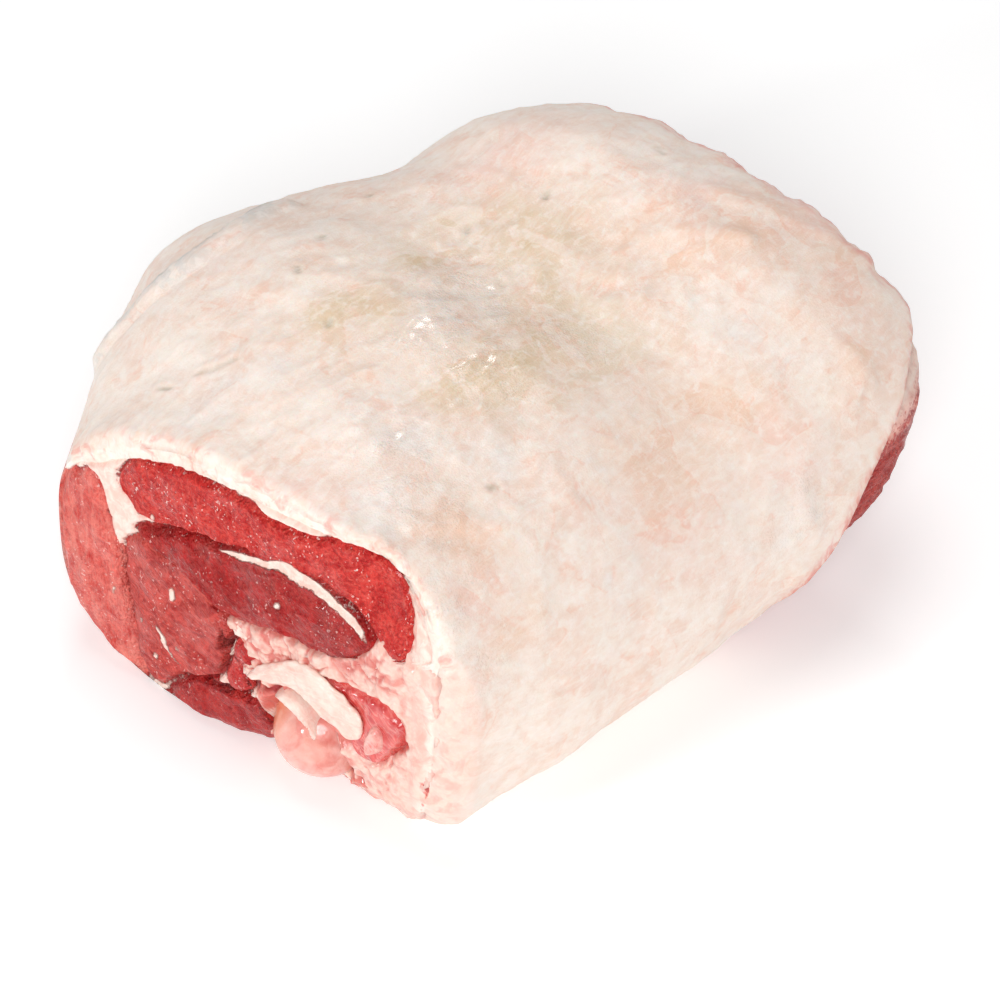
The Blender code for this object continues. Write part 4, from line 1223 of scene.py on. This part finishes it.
# %% Build the sinew
# One entry a spot of its line: y, z and the width there
STRAP = ((1, 31, 2.0), (-5, 35.5, 5.5), (-12, 40, 8.5), (-19, 42.5, 13.0), (-25, 42, 16.0), (-32, 39.5, 16.0),
         (-38, 38, 15.0), (-42, 37.5, 14.0))
STRAP_SIDES, STRAP_STEPS = 84, 110


def band(line, depth, stands_out, seed):
    """Rings of a flat band along a line of (y, z, width) on the hip cut."""
    line = np.array(line, float)
    gone = way_along(line)
    s = np.linspace(0, gone[-1], STRAP_STEPS)
    y, z, width = (curve(gone, line[:, k], s) for k in range(3))
    along = on_cut(np.gradient(y), np.gradient(z))
    along /= np.linalg.norm(along, axis=1)[:, None]
    across = np.cross((1, 0, 0), along)
    end = np.sqrt(np.clip(1 - (2 * s / s[-1] - 1) ** 12, 0.02, 1))
    turn = np.linspace(0, 2 * np.pi, STRAP_SIDES, endpoint=False)
    thick = depth / 2 * end[:, None] * np.cos(turn)
    around, away = np.meshgrid(np.sin(turn), s)
    spots = np.stack((away, 2.0 * around, 0 * away), axis=-1).reshape(-1, 3)
    frayed = (1 + 0.16 * soft_noise(spots, 3.0, seed)).reshape(around.shape)
    wide = width[:, None] * frayed / 2 * end[:, None] * np.sign(around) * np.abs(around) ** 0.7
    middle = np.stack((hip_plane(y, z) - stands_out, y, z), axis=1)
    rings = middle[:, None] + across[:, None] * wide[..., None]
    rings[..., 0] -= thick
    place = np.stack((np.repeat(s, STRAP_SIDES) / 11, wide.reshape(-1) / 2.2, 0 * wide.reshape(-1)), axis=1)
    ridges = 0.8 * soft_noise(place, 1.0, seed + 1) + 0.4 * soft_noise(place * 2, 1.0, seed + 2)
    rings[..., 0] -= ridges.reshape(wide.shape) * np.cos(turn)
    return rings


def build_sinew():
    sheet = Sheet()
    sheet.tube(band(STRAP, 3.0, 2.4, 81))
    return sheet.make("sinew_strap")


sinew = build_sinew()
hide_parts("joint_sinew")


def make_sinew():
    finish, tree, strap = new_finish("wet sinew")
    fibres = use(tree, FIBRES, millimetres(tree, (1, 8, 2), 20), 1.2)
    patches = between(tree, speckle(tree, millimetres(tree), 5, 4, 0.6, 0.5), 0.3, 0.7)
    colour = blend(tree, patches, seen(249, 220, 207), seen(240, 194, 180))
    colour = wash(tree, colour, (times(tree, fibres["Threads"], 0.3), (252, 236, 226)))
    put(tree, strap.inputs["Base Color"], colour)
    put(tree, strap.inputs["Roughness"], between(tree, fibres["Height"], 0.3, 0.7, 0.4, 0.28))
    set_plain(strap, Subsurface_Weight=0.25, Subsurface_Radius=(1.0, 0.6, 0.45), Subsurface_Scale=0.003)
    set_plain(strap, Coat_Weight=0.3, Coat_Roughness=0.15)
    roughen(tree, strap, fibres["Height"], 0.5, 0.4)
    return finish


sinew.data.materials.append(make_sinew())

# %% [markdown]
# ## Nets laid over the cut
# Some small parts lie on the cut like cloth: the soft fat that laps over the meat, the red, glossy skin that
# lines the socket of the joint, and a small pale gland. Each is a fine net whose height is worked out spot by
# spot, and which dives under at its outline, so that no edge of it stands free.

# %% Build the soft fat that laps over the meat
SOFT_FAT = ((11, 46), (5, 48.5), (-3, 51), (-13, 54), (-23, 55.5), (-32, 58.5), (-38, 63), (-43, 70), (-46, 74),
            (-49, 71), (-53, 71), (-52.5, 77), (-52.5, 84), (-51, 88), (-48.5, 92), (-53, 92.5), (-59, 87),
            (-64, 78), (-67, 64), (-66, 30), (-62, 12), (-48, 3), (-30, 0), (-14, 0), (-5, 6), (-5, 16),
            (-4, 23), (-1, 31), (2, 38), (7, 42))
NET = 0.5


def lay_net(name, outline, height_at, paints_at, torn=1.0):
    """A net over an outline on the cut. Two functions give height and paints from y, z and the way inside."""
    low, high = np.min(outline, axis=0) - 2, np.max(outline, axis=0) + 2
    y, z = np.meshgrid(np.arange(low[0], high[0], NET), np.arange(low[1], high[1], NET), indexing="ij")
    shape, y, z = y.shape, y.reshape(-1), z.reshape(-1)
    spots = on_cut(y, z)
    ragged = 0.9 * soft_noise(spots, 5, 91) + 0.5 * soft_noise(spots, 2, 92)
    within = inside_by(rounded(outline), y, z) + torn * ragged
    keep = (within > -1.8) & (z > 0.3)
    y, z, within = y[keep], z[keep], within[keep]
    numbers = np.full(keep.size, -1)
    numbers[keep] = np.arange(keep.sum())
    numbers = numbers.reshape(shape)
    sheet = Sheet()
    sheet.rows(np.stack((hip_plane(y, z) - height_at(y, z, within), y, z), axis=-1)[None])
    sheet.fill(numbers)
    sheet.faces = [face for face in sheet.faces if min(face) >= 0]
    return sheet.make(name, paints_at(y, z, within))


def soft_fat_height(y, z, within):
    lapping = ease((y + 62) / 6) * ease((z - 3) / 4)
    thinner = 1 - 0.5 * ease((z - 76) / 8)
    buried = 1 - ease(within / 2.4 + 0.6)
    return curds(y, z)[0] * thinner + 0.3 * lapping - 0.9 * (1 - lapping) - 5.5 * buried


def soft_fat_paints(y, z, within):
    _, crevice, smooth = curds(y, z)
    at_edge = 0.5 * (1 - ease(within / 1.5))
    return {"pad": 0 * y + 1.0, "crevice": np.maximum(crevice, at_edge), "smooth": smooth}


soft_fat = lay_net("joint_fat_curds", SOFT_FAT, soft_fat_height, soft_fat_paints)
soft_fat.data.materials.append(fat.data.materials[0])

# %% Build the lining, the gland and a veil of sinew over the ball
VEIL = ((-9, 30.5), (-12, 34), (-16, 35), (-20, 33), (-23, 30), (-26, 26), (-28, 21), (-25, 23), (-21, 27),
        (-15, 29))
LINING = ((-24, 48), (-33, 50), (-41, 51), (-49, 51.5), (-56, 48), (-55.5, 41), (-52, 33), (-47, 26), (-39, 25),
          (-34, 33), (-28, 41))
GLAND = ((-42, 36), (-44, 41.5), (-47, 43.5), (-50, 41), (-50.5, 36), (-48.5, 31.5), (-45, 29.5), (-42.5, 31.5))


def raised(stands_out, rim):
    """Height of a small part that stands out of the cut with a rounded edge rim wide."""

    def height_at(y, z, within):
        spots = on_cut(y, z)
        uneven = 0.5 * soft_noise(spots, 6, 93) + 0.3 * soft_noise(spots, (9, 2.2, 5), 94)
        return -2.5 + (2.5 + stands_out + uneven) * ease(within / rim + 0.3)

    return height_at


def way_inside(y, z, within):
    return {"inside": within}


def make_wet_skin(name, colours, rim):
    finish, tree, skin = new_finish(name)
    place = millimetres(tree)
    fibres = use(tree, FIBRES, millimetres(tree, (1, 6, 1.5), -40), 1.4)
    patches = between(tree, speckle(tree, place, 5, 4, 0.6, 0.6), 0.34, 0.66)
    colour = blend(tree, patches, *(seen(*shade) for shade in colours))
    at_rim = between(tree, stored(tree, "inside"), 0.2, 1.8, 0.8, 0.0)
    colour = wash(tree, colour, (times(tree, fibres["Threads"], 0.25), (248, 200, 188)), (at_rim, rim))
    put(tree, skin.inputs["Base Color"], colour)
    put(tree, skin.inputs["Roughness"], between(tree, fibres["Height"], 0.3, 0.7, 0.34, 0.22))
    set_plain(skin, Subsurface_Weight=0.2, Subsurface_Radius=(1.0, 0.3, 0.25), Subsurface_Scale=0.002)
    set_plain(skin, Coat_Weight=0.6, Coat_Roughness=0.1)
    roughen(tree, skin, fibres["Height"], 0.4, 0.5)
    return finish


lining = lay_net("socket_lining", LINING, raised(2.0, 3.5), way_inside, 0.5)
lining.data.materials.append(make_wet_skin("red lining", ((222, 92, 86), (196, 44, 46)), (214, 84, 78)))
gland = lay_net("socket_gland", GLAND, raised(4.4, 4.0), way_inside, 0.15)
gland.data.materials.append(make_wet_skin("pale gland", ((248, 190, 178), (226, 120, 112)), (186, 52, 52)))
veil = lay_net("ball_veil", VEIL, raised(4.2, 2.0), way_inside, 0.4)
veil.data.materials.append(sinew.data.materials[0])

# %% [markdown]
# ## The white table and soft light
# The leg lies on a plain white ground under soft light from above and from the front, which leaves hardly any
# shadow.

# %% Floor and lights
FLOOR_REACH, FLOOR_Z = 3.0, -0.0006


def make_floor():
    mesh = bpy.data.meshes.new("white_floor")
    corners = [(x * FLOOR_REACH, y * FLOOR_REACH, FLOOR_Z) for x, y in ((-1, -1), (1, -1), (1, 1), (-1, 1))]
    mesh.from_pydata(corners, [], [(0, 1, 2, 3)])
    finish, _, paper = new_finish("white paper")
    set_plain(paper, Base_Color=(0.92, 0.92, 0.92, 1), Roughness=0.9, Specular_IOR_Level=0.0)
    set_plain(paper, Emission_Color=(1, 1, 1, 1), Emission_Strength=0.25)
    mesh.materials.append(finish)
    floor = new_object("white_floor", mesh)


def aim_at(thing, place, direction):
    """Sets a light or the camera at its place, looking along the direction."""
    thing.location = place
    thing.rotation_mode = "QUATERNION"
    thing.rotation_quaternion = direction.to_track_quat("-Z", "Y")


def soft_light(name, place, aim, size, watts):
    lamp = bpy.data.lights.new(name, "AREA")
    lamp.shape = "DISK"
    lamp.size = size
    lamp.energy = watts
    aim_at(new_object(name, lamp), place, Vector(aim) - Vector(place))


make_floor()
# Name, place, aim, size and power
soft_light("overhead", (0.2, 0.2, 1.5), (0, 0, 0.05), 0.8, 6.3)
soft_light("front_left", (-1.0, -0.8, 1.0), (-0.05, 0, 0.05), 0.6, 11.8)
soft_light("left", (-1.3, 0.35, 0.4), (-0.08, 0, 0.05), 0.14, 4.5)
soft_light("behind", (0.85, 0.7, 1.1), (0, 0, 0.08), 0.2, 1.6)
world = bpy.data.worlds.new("studio")
world.use_nodes = True
set_plain(world.node_tree.nodes["Background"], Color=(1, 1, 1, 1), Strength=0.3)
bpy.context.scene.world = world

# %% [markdown]
# ## The camera
# The photo looks down on the leg at 45 degrees, from the corner between the cut and the near side.
# A long lens from over a metre away keeps the shapes free of strong perspective.

# %% Camera
TARGET = Vector((0.0040, -0.0061, 0.0405))
AZIMUTH, ELEVATION, AWAY, METRES_PER_PIXEL = radians(-50), radians(45), 1.3, 0.000297
back = Vector((sin(AZIMUTH) * cos(ELEVATION), -cos(AZIMUTH) * cos(ELEVATION), sin(ELEVATION)))
lens = bpy.data.cameras.new("camera")
lens.sensor_width = 36
lens.lens = 36 * AWAY / METRES_PER_PIXEL / 1000
lens.shift_x, lens.shift_y = 0.006, -0.052
camera = new_object("camera", lens)
aim_at(camera, TARGET + back * AWAY, -back)
bpy.context.scene.camera = camera
bpy.context.scene.view_settings.view_transform = "Standard"
